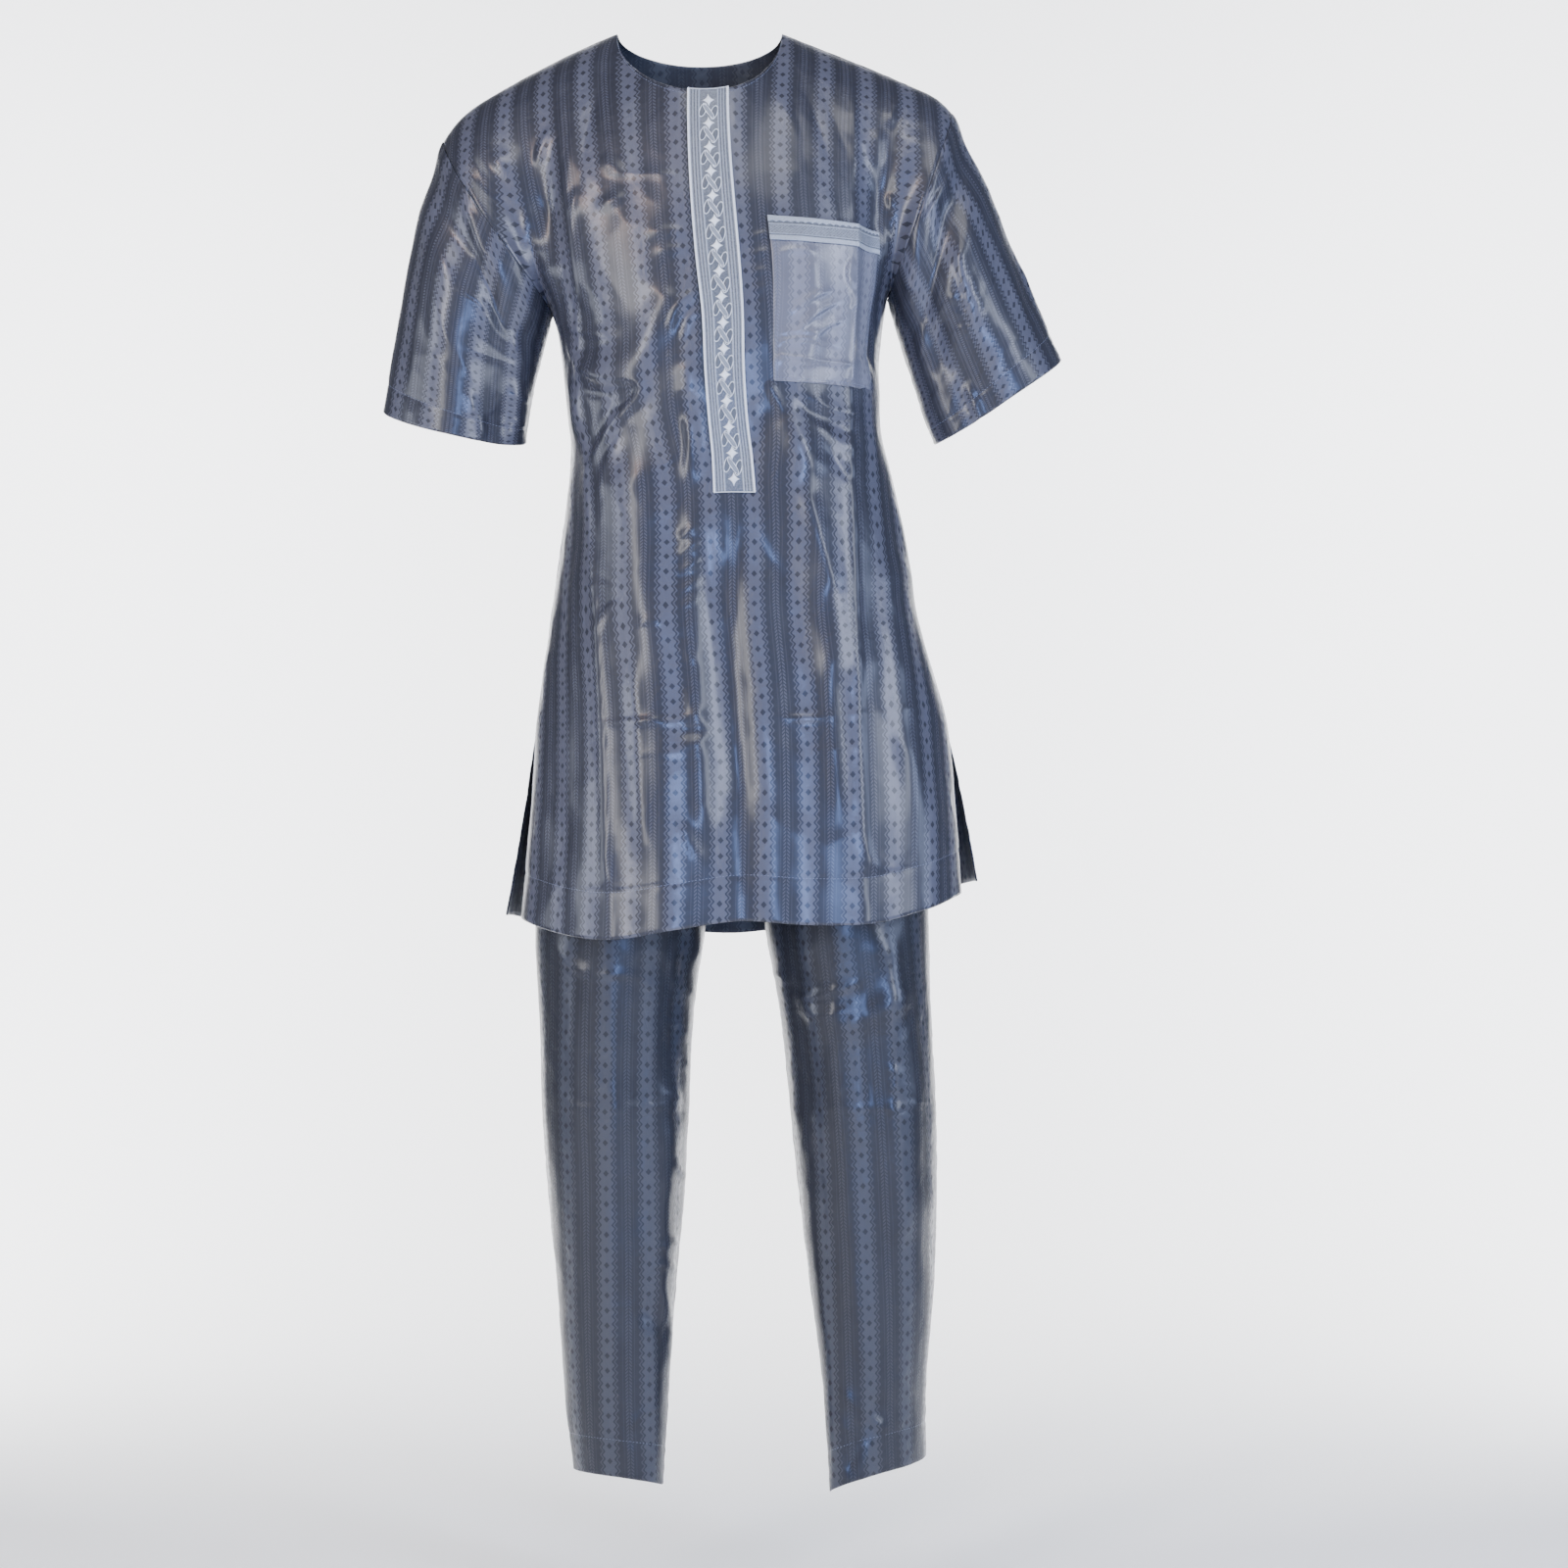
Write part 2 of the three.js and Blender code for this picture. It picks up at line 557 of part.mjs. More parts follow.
// Moves the rows near the pocket, so that they follow its sloping edges
function alongPocket(s, h) {
  const inside = Math.min(pocketRight, Math.max(pocketLeft, s));
  const across = (inside - pocketLeft) / (pocketRight - pocketLeft);
  const fade =
    s < pocketLeft
      ? 1 - smooth((pocketLeft - s) / POCKET_FADE.left)
      : 1 - smooth((s - pocketRight) / POCKET_FADE.right);
  const anchors = [{ row: 0, h: 0 }];
  for (const name of Object.keys(POCKET)) {
    const wanted = shareAt(inside, mix(POCKET[name].left, POCKET[name].right, across));
    anchors.push({ row: edgeRow[name], h: mix(edgeRow[name], wanted, fade) });
  }
  anchors.push({ row: 2, h: 2 });
  const next = Math.max(1, anchors.findIndex((anchor) => anchor.row >= h - TINY / 100));
  const [a, b] = [anchors[next - 1], anchors[next]];
  return mix(a.h, b.h, (h - a.row) / (b.row - a.row));
}

const front = tunicPanel(FRONT, COLUMNS[FRONT], tunicRows);
const back = tunicPanel(BACK, COLUMNS[BACK], tunicRows);

// A sleeve's seam runs from the armpit up the front panel's edge and down the back panel's edge
function sleeveLoop(side) {
  const frontColumn = side === "left" ? 0 : front.columns.length - 1;
  const backColumn = side === "left" ? 0 : back.columns.length - 1;
  const loop = [];
  for (let r = armpitRow; r <= topRow; r++) loop.push([front, r, frontColumn]);
  for (let r = topRow - 1; r > armpitRow; r--) loop.push([back, r, backColumn]);
  return loop;
}

// The sleeve's cloth between its seam loop and its hem
function sleeve(side) {
  const size = SLEEVE[side];
  const loop = sleeveLoop(side);
  const turns = loop.length;
  const top = turns / 2;
  const inner = point(size.inner[0], 0, size.inner[1]);
  const outer = point(size.outer[0], 0, size.outer[1]);
  const middle = inner.clone().add(outer).multiplyScalar(0.5);
  const half = outer.clone().sub(inner).multiplyScalar(0.5);
  const shares = evenly(SLEEVE_CELLS);
  const along = (end, over, length) => {
    const x = mix(size.under[end][0], size.over[end][0], over);
    const z = mix(size.under[end][1], size.over[end][1], over);
    return point(x, 0, z).multiplyScalar(length / 3);
  };
  const plain = shares.map((t) =>
    loop.map(([panel, r, c], k) => {
      const angle = (Math.PI * k) / top;
      const start = panel.grid[r][c];
      const over = (1 - Math.cos(angle)) / 2;
      const reach = Math.sin(angle);
      const length = mix(SLEEVE_LENGTH.under, SLEEVE_LENGTH.over, over);
      const end = middle.clone().addScaledVector(half, -Math.cos(angle));
      end.y -= size.halfDepth * reach;
      end.z -= size.tilt * reach;
      const leaving = start.clone().add(along("start", over, length));
      const arriving = end.clone().sub(along("end", over, length));
      return curve(start, leaving, arriving, end, t);
    }),
  );
  const turn = side === "left" ? 1 : -1;
  const flat = normalsOf(plain, turn, true);
  const around = 400;
  plain.forEach((row, r) =>
    row.forEach((p, c) => {
      const free = smooth(shares[r] * 5);
      p.addScaledVector(flat[r][c], free * foldHeight(SLEEVE_FOLDS[side], c / turns, shares[r], around, 290));
    }),
  );
  return { grid: plain, normals: normalsOf(plain, turn, true), turn, loop };
}

// One face of a trouser leg and its half of the seat: a runs from the side seam to the inner seam
function trouserPoint(side, face, a, h) {
  const outward = side === "left" ? -1 : 1;
  const hem = LEG_HEM[side];
  const edge = face === FRONT ? "front" : "back";
  if (h <= 1) {
    const rise = face === FRONT ? hem.rise * Math.sin(Math.PI * a) : 0;
    const low = mix(hem.outer, hem.inner, a) + rise;
    const z = mix(low, CROTCH.z, h);
    const row = rowAt(LEGS[side], "z", z);
    const forward = hem.forward * smooth((FORWARD_FROM - z) / (FORWARD_FROM - hem.inner));
    const outer = point(row.outer, forward, z);
    const inner = point(row.inner, mix(-forward, CROTCH.y, h), z);
    const depth = (4 / 3) * row[edge];
    const lift = point(0, depth, 0);
    return curve(outer, outer.clone().add(lift), inner.clone().add(lift), inner, a).setZ(z);
  }
  const z = mix(CROTCH.z, WAIST, h - 1);
  const row = rowAt(SEAT, "z", z);
  const climb = Math.min(1, (z - CROTCH.z) / RISE_CURVE);
  const turned = Math.sqrt(1 - (1 - climb) ** 2);
  const middle = mix(CROTCH.x, (row.left + row.right) / 2, smooth(h - 1));
  const outer = point(outward < 0 ? row.left : row.right, 0, z);
  const inner = point(middle, mix(CROTCH.y, row[edge], turned), z);
  const quarter = 0.5523;
  const width = inner.x - outer.x;
  const handleOut = mix(4 / 3, quarter, turned) * row[edge];
  const near = point(inner.x, mix((4 / 3) * row[edge], row[edge], turned), z);
  near.x -= turned * quarter * width;
  return curve(outer, point(outer.x, handleOut, z), near, inner, a);
}

function trouserPanel(side, face) {
  const legRows = evenly(LEG_CELLS);
  legRows[1] = LEG_HEM_DEPTH / (CROTCH.z - LEG_HEM[side].outer);
  const rise = (climb) => 1 + (climb * RISE_CURVE) / (WAIST - CROTCH.z);
  const seatRows = [rise(0.06), rise(0.2), rise(0.45), rise(1), ...evenly(SEAT_CELLS, rise(1), 2).slice(1)];
  const rows = [...legRows, ...seatRows];
  const columns = evenly(LEG_COLUMNS);
  const plain = gridOf(rows, columns, (a, h) => trouserPoint(side, face, a, h));
  const turn = (side === "left") === (face === FRONT) ? 1 : -1;
  const flat = normalsOf(plain, turn);
  const folds = LEG_FOLDS[side].filter((fold) => fold.face === face);
  const across = 220;
  plain.forEach((row, r) =>
    row.forEach((p, c) => {
      const seams = 1 - Math.abs(2 * columns[c] - 1) ** 8;
      p.addScaledVector(flat[r][c], seams * foldHeight(folds, columns[c], p.z, across, 1));
    }),
  );
  return { grid: plain, normals: normalsOf(plain, turn), turn, rows };
}

const suit = new THREE.Group();

function addPiece(name, geometry, colour = CLOTH_COLOUR, roughness = 0.38) {
  const material = new THREE.MeshStandardMaterial({ color: colour, roughness, metalness: 0 });
  const mesh = new THREE.Mesh(geometry, material);
  mesh.name = name;
  suit.add(mesh);
}

// Sleeves first, while the panels' edges still lie on the seam lines
const sleeves = { left: sleeve("left"), right: sleeve("right") };

// Tunic: shared normals and gaps along the side seams, the shoulder seams and the sleeve seams
const nearestColumn = (panel, s) =>
  panel.columns.reduce((best, c, i) => (Math.abs(c - s) < Math.abs(panel.columns[best] - s) ? i : best), 0);
for (const end of [0, 1]) {
  const f = end ? front.columns.length - 1 : 0;
  const b = end ? back.columns.length - 1 : 0;
  for (let r = 0; r <= armpitRow; r++) {
    if (front.grid[r][f].z >= VENT_TOP) share(front.normals[r][f], back.normals[r][b]);
  }
}
front.columns.forEach((s, c) => {
  if (Math.abs(s) >= NECK_SHARE) share(front.normals[topRow][c], back.normals[topRow][nearestColumn(back, s)].clone());
});
back.columns.forEach((s, c) => {
  if (Math.abs(s) >= NECK_SHARE) back.normals[topRow][c].copy(front.normals[topRow][nearestColumn(front, s)]);
});
for (const side of ["left", "right"]) {
  const { grid, normals, loop } = sleeves[side];
  loop.forEach(([panel, r, c], k) => {
    const next = grid[0][(k + 1) % loop.length];
    const before = grid[0][(k + loop.length - 1) % loop.length];
    const along = next.clone().sub(before).normalize();
    share(normals[0][k], panel.normals[r][c], down, along);
  });
  const tip = loop.length / 2;
  const [, , backColumn] = loop[tip + 1];
  back.normals[topRow][backColumn].copy(normals[0][tip]);
  back.normals[armpitRow][backColumn].copy(normals[0][0]);
  loop.forEach((_, k) => {
    const turning = k <= 1 || k === loop.length - 1;
    stepBack(grid, normals, 0, k, 1, k, turning ? ARMPIT_STEP : SEAM_GAP / 2);
  });
}
for (const panel of [front, back]) {
  const e = panel.columns.length - 1;
  for (let r = 0; r <= topRow; r++) {
    stepBack(panel.grid, panel.normals, r, 0, r, 1);
    stepBack(panel.grid, panel.normals, r, e, r, e - 1);
  }
  panel.columns.forEach((s, c) => {
    if (Math.abs(s) > NECK_SHARE - TINY) stepBack(panel.grid, panel.normals, topRow, c, topRow - 1, c);
  });
}

const hemmed = (r) => (r <= 1 ? HEM_WALL : CLOTH);
addPiece("tunic_front", wall(front.grid, front.normals, hemmed, { turn: front.turn }));
addPiece("tunic_back", wall(back.grid, back.normals, hemmed, { turn: back.turn }));
const WEARER = { left: "right", right: "left" };
for (const side of ["left", "right"]) {
  const { grid, normals, turn } = sleeves[side];
  const hem = (r) => (r === grid.length - 1 ? HEM_WALL : CLOTH);
  addPiece(`sleeve_${WEARER[side]}`, wall(grid, normals, hem, { round: true, turn }));
}

// What is sewn on the front is cut from the panel's own points and moved out
function onFront(columns, rows, thickness, lift) {
  const [c0, c1] = columns.map((s) => front.columns.indexOf(s));
  const [r0, r1] = rows.map((h) => tunicRows.indexOf(h));
  const cut = (grid) => grid.slice(r0, r1 + 1).map((row) => row.slice(c0, c1 + 1));
  const raised = (r, c) => (typeof lift === "function" ? lift(r, c) : lift) + thickness;
  return wall(cut(front.grid), cut(front.normals), thickness, { lift: raised });
}
addPiece("front_band", onFront(BAND_EDGES, [bandFootRow, 2], 1.2, LIFT), BAND_COLOUR, 0.5);
addPiece("chest_pocket", onFront(POCKET_EDGES, [edgeRow.bottom, edgeRow.top], 1, LIFT));
const trimRows = [edgeRow.trim, edgeRow.top];
addPiece("pocket_trim", onFront(POCKET_EDGES, trimRows, 1, 2 * LIFT + 1), BAND_COLOUR, 0.5);

// Trousers: two fronts and two backs, joined along the side seams, the inner seams and the middle
const trousers = {};
for (const side of ["left", "right"]) {
  trousers[side] = { [FRONT]: trouserPanel(side, FRONT), [BACK]: trouserPanel(side, BACK) };
}
const crotchRow = LEG_CELLS;
const inseam = LEG_COLUMNS;
for (const side of ["left", "right"]) {
  const pair = trousers[side];
  pair[FRONT].rows.forEach((_, r) => {
    share(pair[FRONT].normals[r][0], pair[BACK].normals[r][0]);
    if (r < crotchRow) share(pair[FRONT].normals[r][inseam], pair[BACK].normals[r][inseam]);
    if (r === crotchRow) pair[FRONT].normals[r][inseam].copy(down);
    if (r === crotchRow) pair[BACK].normals[r][inseam].copy(down);
  });
}
for (const face of [FRONT, BACK]) {
  const [left, right] = [trousers.left[face], trousers.right[face]];
  for (let r = crotchRow + 1; r < left.rows.length; r++) {
    share(left.normals[r][inseam], right.normals[r][inseam]);
  }
}
for (const side of ["left", "right"]) {
  for (const face of [FRONT, BACK]) {
    const { grid, normals, rows, turn } = trousers[side][face];
    rows.forEach((_, r) => {
      stepBack(grid, normals, r, 0, r, 1);
      stepBack(grid, normals, r, inseam, r, inseam - 1);
      const pinched = r === crotchRow || r === crotchRow + 1;
      if (pinched) grid[r][inseam].x += (side === "left" ? -1 : 1) * (SEAM_GAP / 2);
    });
    const name = `trouser_${face === BACK ? "back" : "front"}_${WEARER[side]}`;
    addPiece(name, wall(grid, normals, hemmed, { turn }));
  }
}

// Waistband: one ring on the trousers' top edge
const waistRow = rowAt(SEAT, "z", WAIST);
const bandPoint = (share01, up) => {
  const angle = 2 * Math.PI * share01;
  const reach = Math.sin(angle);
  return point(
    mix(waistRow.left, waistRow.right, (1 - Math.cos(angle)) / 2),
    reach > 0 ? waistRow.front * reach : -waistRow.back * reach,
    WAIST + WAISTBAND.gap + up * WAISTBAND.height,
  );
};
const bandGrid = gridOf([0, 1], evenly(32).slice(0, -1), bandPoint);
addPiece("waistband", wall(bandGrid, normalsOf(bandGrid, 1, true), WAISTBAND.wall, { round: true }));

export default suit;
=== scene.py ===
"""Dressed scene of a man's two-piece suit: a short-sleeved tunic with side vents over tapered trousers.

The suit is cut from glazed cotton damask with woven stripes. It hangs as it is worn, with nothing in
it. Shapes are worked out in millimetres, with X to the viewer's right, Y away from the viewer and Z
up. The words left and right in the sizes are the viewer's, and those in the pieces' names the wearer's.
"""
import logging
import math
from collections.abc import Callable, Sequence
from dataclasses import dataclass, field
from enum import Enum

import bpy
import numpy as np
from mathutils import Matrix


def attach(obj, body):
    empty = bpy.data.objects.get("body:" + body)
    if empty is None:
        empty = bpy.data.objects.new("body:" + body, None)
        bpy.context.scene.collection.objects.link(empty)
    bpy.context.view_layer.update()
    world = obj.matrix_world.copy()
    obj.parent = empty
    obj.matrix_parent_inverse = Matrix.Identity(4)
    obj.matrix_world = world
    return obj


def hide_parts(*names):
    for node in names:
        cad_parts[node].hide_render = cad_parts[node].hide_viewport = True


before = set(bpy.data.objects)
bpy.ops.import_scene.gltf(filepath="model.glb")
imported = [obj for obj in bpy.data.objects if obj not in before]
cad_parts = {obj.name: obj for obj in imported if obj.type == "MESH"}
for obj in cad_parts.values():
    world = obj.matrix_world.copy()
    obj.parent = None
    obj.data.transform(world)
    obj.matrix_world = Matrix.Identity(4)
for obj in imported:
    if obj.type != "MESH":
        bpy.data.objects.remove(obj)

Array = np.ndarray
Path2 = tuple[tuple[float, float], ...]
Surface = Callable[[Array, Array], Array]
LOG = logging.getLogger("suit")
MM = 0.001
SEED = 4705


class Face(Enum):
    """The two faces of the suit, as the sign of Y on each."""

    FRONT = -1
    BACK = 1


class Side(Enum):
    """The two sides of the suit as the viewer sees them, with the wearer's name for each."""

    LEFT = "right"
    RIGHT = "left"

    @property
    def sign(self) -> int:
        """The sign of X on this side."""
        return -1 if self is Side.LEFT else 1


class Shape(Enum):
    """How the cloth rises across a fold: rounded, pressed to an edge, or steep on one side."""

    SOFT = "soft"
    CREASE = "crease"
    TUCK = "tuck"


def mix(a: Array | float, b: Array | float, t: Array | float) -> Array | float:
    """A value between a (t is 0) and b (t is 1)."""
    return a + (b - a) * t


def smooth(t: Array | float) -> Array:
    """A soft step from 0 to 1, 3t squared minus 2t cubed."""
    c = np.clip(t, 0, 1)
    return c * c * (3 - 2 * c)


def through(rows: Sequence[Sequence[float]], at: Array | float) -> Array:
    """Values of a table between its rows, on smooth curves through them.

    Each stretch is a cubic whose slope at a row is that of the line between its two neighbours.

    Args:
        rows: the key and then the values of each row, with the keys rising or falling.
        at: places to read, in the key's units.

    Returns:
        One array of values for each place, along a new last axis.
    """
    table = np.array(sorted(rows), float)
    keys, values = table[:, 0], table[:, 1:]
    last = len(keys) - 1
    order = np.arange(last + 1)
    before, after = np.maximum(order - 1, 0), np.minimum(order + 1, last)
    slopes = (values[after] - values[before]) / (keys[after] - keys[before])[:, None]
    at = np.asarray(at, float)
    i = np.clip(np.searchsorted(keys, at, side="right") - 1, 0, last - 1)
    span = keys[i + 1] - keys[i]
    t = np.clip((at - keys[i]) / span, -0.2, 1.2)[..., None]
    a, b = values[i], values[i + 1]
    rise = slopes[i] * span[..., None] - (b - a)
    fall = slopes[i + 1] * span[..., None] - (b - a)
    return a + (b - a) * t + (1 - t) * t * ((1 - t) * rise - t * fall)


def bezier(p0: Array, p1: Array, p2: Array, p3: Array, t: Array) -> Array:
    """Points of cubic curves between p0 and p3 with the handles p1 and p2, at the shares t."""
    t = np.asarray(t, float)[..., None]
    q = 1 - t
    return q**3 * p0 + 3 * q * q * t * p1 + 3 * q * t * t * p2 + t**3 * p3


def stack(x: Array | float, y: Array | float, z: Array | float) -> Array:
    """Points from their three coordinates."""
    return np.stack(np.broadcast_arrays(x, y, z), axis=-1).astype(float)


def unit(vectors: Array) -> Array:
    """Vectors brought to length 1."""
    return vectors / np.maximum(np.linalg.norm(vectors, axis=-1, keepdims=True), 1e-9)


def full_turn(count: int) -> Array:
    """Angles at equal steps round a full turn, from 0."""
    return np.arange(count) * 2 * math.pi / count


def length_along(path: Array) -> Array:
    """Length of a path from its first point up to each of its points."""
    return np.concatenate([[0], np.cumsum(np.linalg.norm(np.diff(path, axis=0), axis=-1))])


def dot(a: Array, b: Array) -> Array:
    """Scalar products, with the last axis kept."""
    return np.sum(a * b, axis=-1, keepdims=True)


def uneven(across: Array, down: Array, size: float, seed: int) -> Array:
    """A smooth uneven height of about -1 to 1.

    Seeded values stand at the corners of a square net, and the height passes smoothly between them.

    Args:
        across: first coordinate in mm.
        down: second coordinate in mm.
        size: side of the net's squares in mm.
        seed: chooses the values.

    Returns:
        The heights, in the shape of the coordinates.
    """
    corners = np.random.default_rng(SEED + seed).uniform(-1, 1, (97, 89))
    a, b = across / size, down / size
    i, j = np.floor(a).astype(int), np.floor(b).astype(int)
    u, v = smooth(a - i), smooth(b - j)
    low = mix(corners[i % 97, j % 89], corners[(i + 1) % 97, j % 89], u)
    high = mix(corners[i % 97, (j + 1) % 89], corners[(i + 1) % 97, (j + 1) % 89], u)
    return mix(low, high, v)


def crumple(across: Array, down: Array, size: float, seed: int) -> Array:
    """Sharp uneven ridges as in stiff cloth that was squeezed, about -0.8 to 0.8.

    A ridge runs where the uneven height passes zero, and the coordinates are turned and bent first, so
    that the ridges keep no one direction.
    """
    bent = across + 0.45 * size * uneven(across, down, size * 1.6, seed + 2)
    a, b = 0.82 * bent + 0.57 * down, 0.82 * down - 0.57 * bent
    return 0.8 - 1.6 * np.abs(uneven(a, b * 0.7, size, seed)) ** 0.8


@dataclass(frozen=True)
class Lie:
    """The uneven lie of a piece of cloth: broad waves, and sharp ridges of two sizes.

    Each of the three is a height and a size in mm, and the small ridges have their own seed.
    """

    wave: tuple[float, float]
    ridge: tuple[float, float]
    small_ridge: tuple[float, float]
    small_seed: int = 5

    def height(self, across: Array, down: Array, seed: int) -> Array:
        """The sum of the three at some places."""
        total = self.wave[0] * uneven(across, down, self.wave[1], seed)
        total = total + self.ridge[0] * crumple(across, down, self.ridge[1], seed + 1)
        high, size = self.small_ridge
        return total + high * crumple(across, down, size, seed + self.small_seed)


def sewn_line(off: Array, depth: float, pucker: float, waves: Array) -> Array:
    """Height beside a line of sewing: a groove exp(-(d / 2.2) squared), and puckers that die away as
    exp(-(d / 9) squared).

    Args:
        off: distance from the line in mm.
        depth: depth of the groove in mm.
        pucker: height of the puckers in mm.
        waves: uneven height that the puckers follow.

    Returns:
        The heights in mm.
    """
    return pucker * np.exp(-((off / 9) ** 2)) * waves - depth * np.exp(-((off / 2.2) ** 2))


def hem_wall(cloth: float, hem: float, above: Array) -> Array:
    """Thickness of the cloth: the hem's up to 1.5 mm below its line of sewing, and one layer's from
    1.5 mm above it."""
    return mix(hem, cloth, smooth(above / 3 + 0.5))


@dataclass(frozen=True)
class View:
    """The front view that the finer folds are placed on.

    A place on it is in millimetres right of and below its upper left corner, at the distance of the
    side seams, as seen by an eye in front of the suit.
    """

    distance: float = 3000.0
    across: float = 85.0
    up: float = -762.0
    size: float = 1600.0

    def place(self, points: Array) -> tuple[Array, Array]:
        """Where points appear: their offset from the eye's line, shrunk by distance over depth."""
        scale = self.distance / (self.distance + points[..., 1])
        right = self.size / 2 + (points[..., 0] - self.across) * scale
        below = self.size / 2 - (points[..., 2] - self.up) * scale
        return right, below


VIEW = View()


@dataclass(frozen=True)
class Fold:
    """A fold, crease or tuck along a path. Depth is out of the cloth in mm, and minus is a trough."""

    width: float
    depth: float
    path: Path2
    shape: Shape = Shape.SOFT
    taper: float = 0.0

    def smooth_path(self) -> Array:
        """The path with five points between each two, on a smooth curve."""
        rows = [(i, a, b) for i, (a, b) in enumerate(self.path)]
        return through(rows, np.linspace(0, len(rows) - 1, 6 * (len(rows) - 1) + 1))

    def height(self, across: Array, down: Array) -> Array:
        """Height of the fold at some places.

        With d the distance from the path over the width, a soft fold is exp(-d squared) and a crease
        exp(-d). A tuck is a soft fold three times as steep on one side. A taper lets it rise from
        nothing over that share of its length, at both ends.

        Args:
            across: first coordinate of the places.
            down: second coordinate of the places.

        Returns:
            The heights in mm.
        """
        path = self.smooth_path()
        step = np.diff(path, axis=0)
        length = np.hypot(step[:, 0], step[:, 1])
        offset = np.stack([across, down], -1)[:, None, :] - path[:-1]
        t = np.clip((offset * step).sum(-1) / length**2, 0, 1)
        gap = offset - t[..., None] * step
        distance = np.hypot(gap[..., 0], gap[..., 1])
        pick = (np.arange(len(across)), distance.argmin(axis=1))
        d = distance[pick] / self.width
        if self.shape is Shape.CREASE:
            rise = np.exp(-d)
        elif self.shape is Shape.TUCK:
            turned = step[pick[1], 0] * gap[pick][:, 1] - step[pick[1], 1] * gap[pick][:, 0]
            rise = np.exp(-((d * np.where(turned > 0, 2.2, 0.7)) ** 2))
        else:
            rise = np.exp(-d * d)
        if self.taper:
            along = (np.cumsum(length)[pick[1]] - length[pick[1]] * (1 - t[pick])) / length.sum()
            rise = rise * smooth(along / self.taper) * smooth((1 - along) / self.taper)
        return self.depth * rise

    def near(self, across: Array, down: Array) -> Array:
        """Whether each place is close enough for the fold to reach it."""
        path = np.array(self.path)
        reach = self.width * (7 if self.shape is Shape.CREASE else 4)
        low, high = path.min(axis=0) - reach, path.max(axis=0) + reach
        inside = (across > low[0]) & (across < high[0])
        return inside & (down > low[1]) & (down < high[1])


def soft(width: float, depth: float, path: Path2, taper: float = 0.3) -> Fold:
    """A rounded fold that rises from nothing at its ends."""
    return Fold(width, depth, path, Shape.SOFT, taper)


def crease(width: float, depth: float, path: Path2, taper: float = 0.15) -> Fold:
    """A pressed crease."""
    return Fold(width, depth, path, Shape.CREASE, taper)


def tuck(width: float, depth: float, path: Path2, taper: float = 0.3) -> Fold:
    """A fold that is steep on one side."""
    return Fold(width, depth, path, Shape.TUCK, taper)


def fold_height(folds: Sequence[Fold], across: Array, down: Array) -> Array:
    """The sum of the folds' heights at some places, in mm."""
    across, down = np.broadcast_arrays(across, down)
    height = np.zeros(across.shape)
    for fold in folds:
        near = fold.near(across, down)
        if near.any():
            height[near] += fold.height(across[near], down[near])
    return height


def normals_of(points: Array, turn: int) -> Array:
    """Outward normals of a grid: the step across a row times the step up a column."""
    return unit(turn * np.cross(np.gradient(points, axis=1), np.gradient(points, axis=0)))


def facing(surface: Surface, a: Array, b: Array, turn: int, step: float = 1e-3) -> tuple[Array, Array]:
    """Points of a surface and its outward normals, from two short steps each way.

    Args:
        surface: gives a point for two parameters.
        a: parameter across.
        b: parameter up.
        turn: 1 where across times up points out, else -1.
        step: how far each step goes.

    Returns:
        The points and the normals.
    """
    east = surface(a + step, b) - surface(a - step, b)
    north = surface(a, b + step) - surface(a, b - step)
    return surface(a, b), unit(turn * np.cross(east, north))


def cloth_coordinates(points: Array, normals: Array, grain: Array, column: int) -> Array:
    """Places of a grid on the flat cloth, in mm across and along the grain.

    The grain's direction in the surface is the grain vector less its part along the normal. Each step
    along a row adds its part across the grain to the first coordinate and its part along it to the
    second, starting from one column, whose own length is measured up from the first row.

    Args:
        points: grid of points, rows by columns.
        normals: outward normals of the grid.
        grain: direction of the warp for each point.
        column: the column that lies on a thread.

    Returns:
        Grid of places, rows by columns by two.
    """
    along = unit(grain - normals * dot(grain, normals))
    across = np.cross(along, normals)
    step = np.diff(points, axis=1)
    places = []
    for direction in (across, along):
        part = (step * (direction[:, 1:] + direction[:, :-1]) / 2).sum(-1)
        total = np.concatenate([np.zeros((len(points), 1)), np.cumsum(part, axis=1)], axis=1)
        places.append(total - total[:, column : column + 1])
    places[1] = places[1] + length_along(points[:, column])[:, None]
    return np.stack(places, axis=-1)


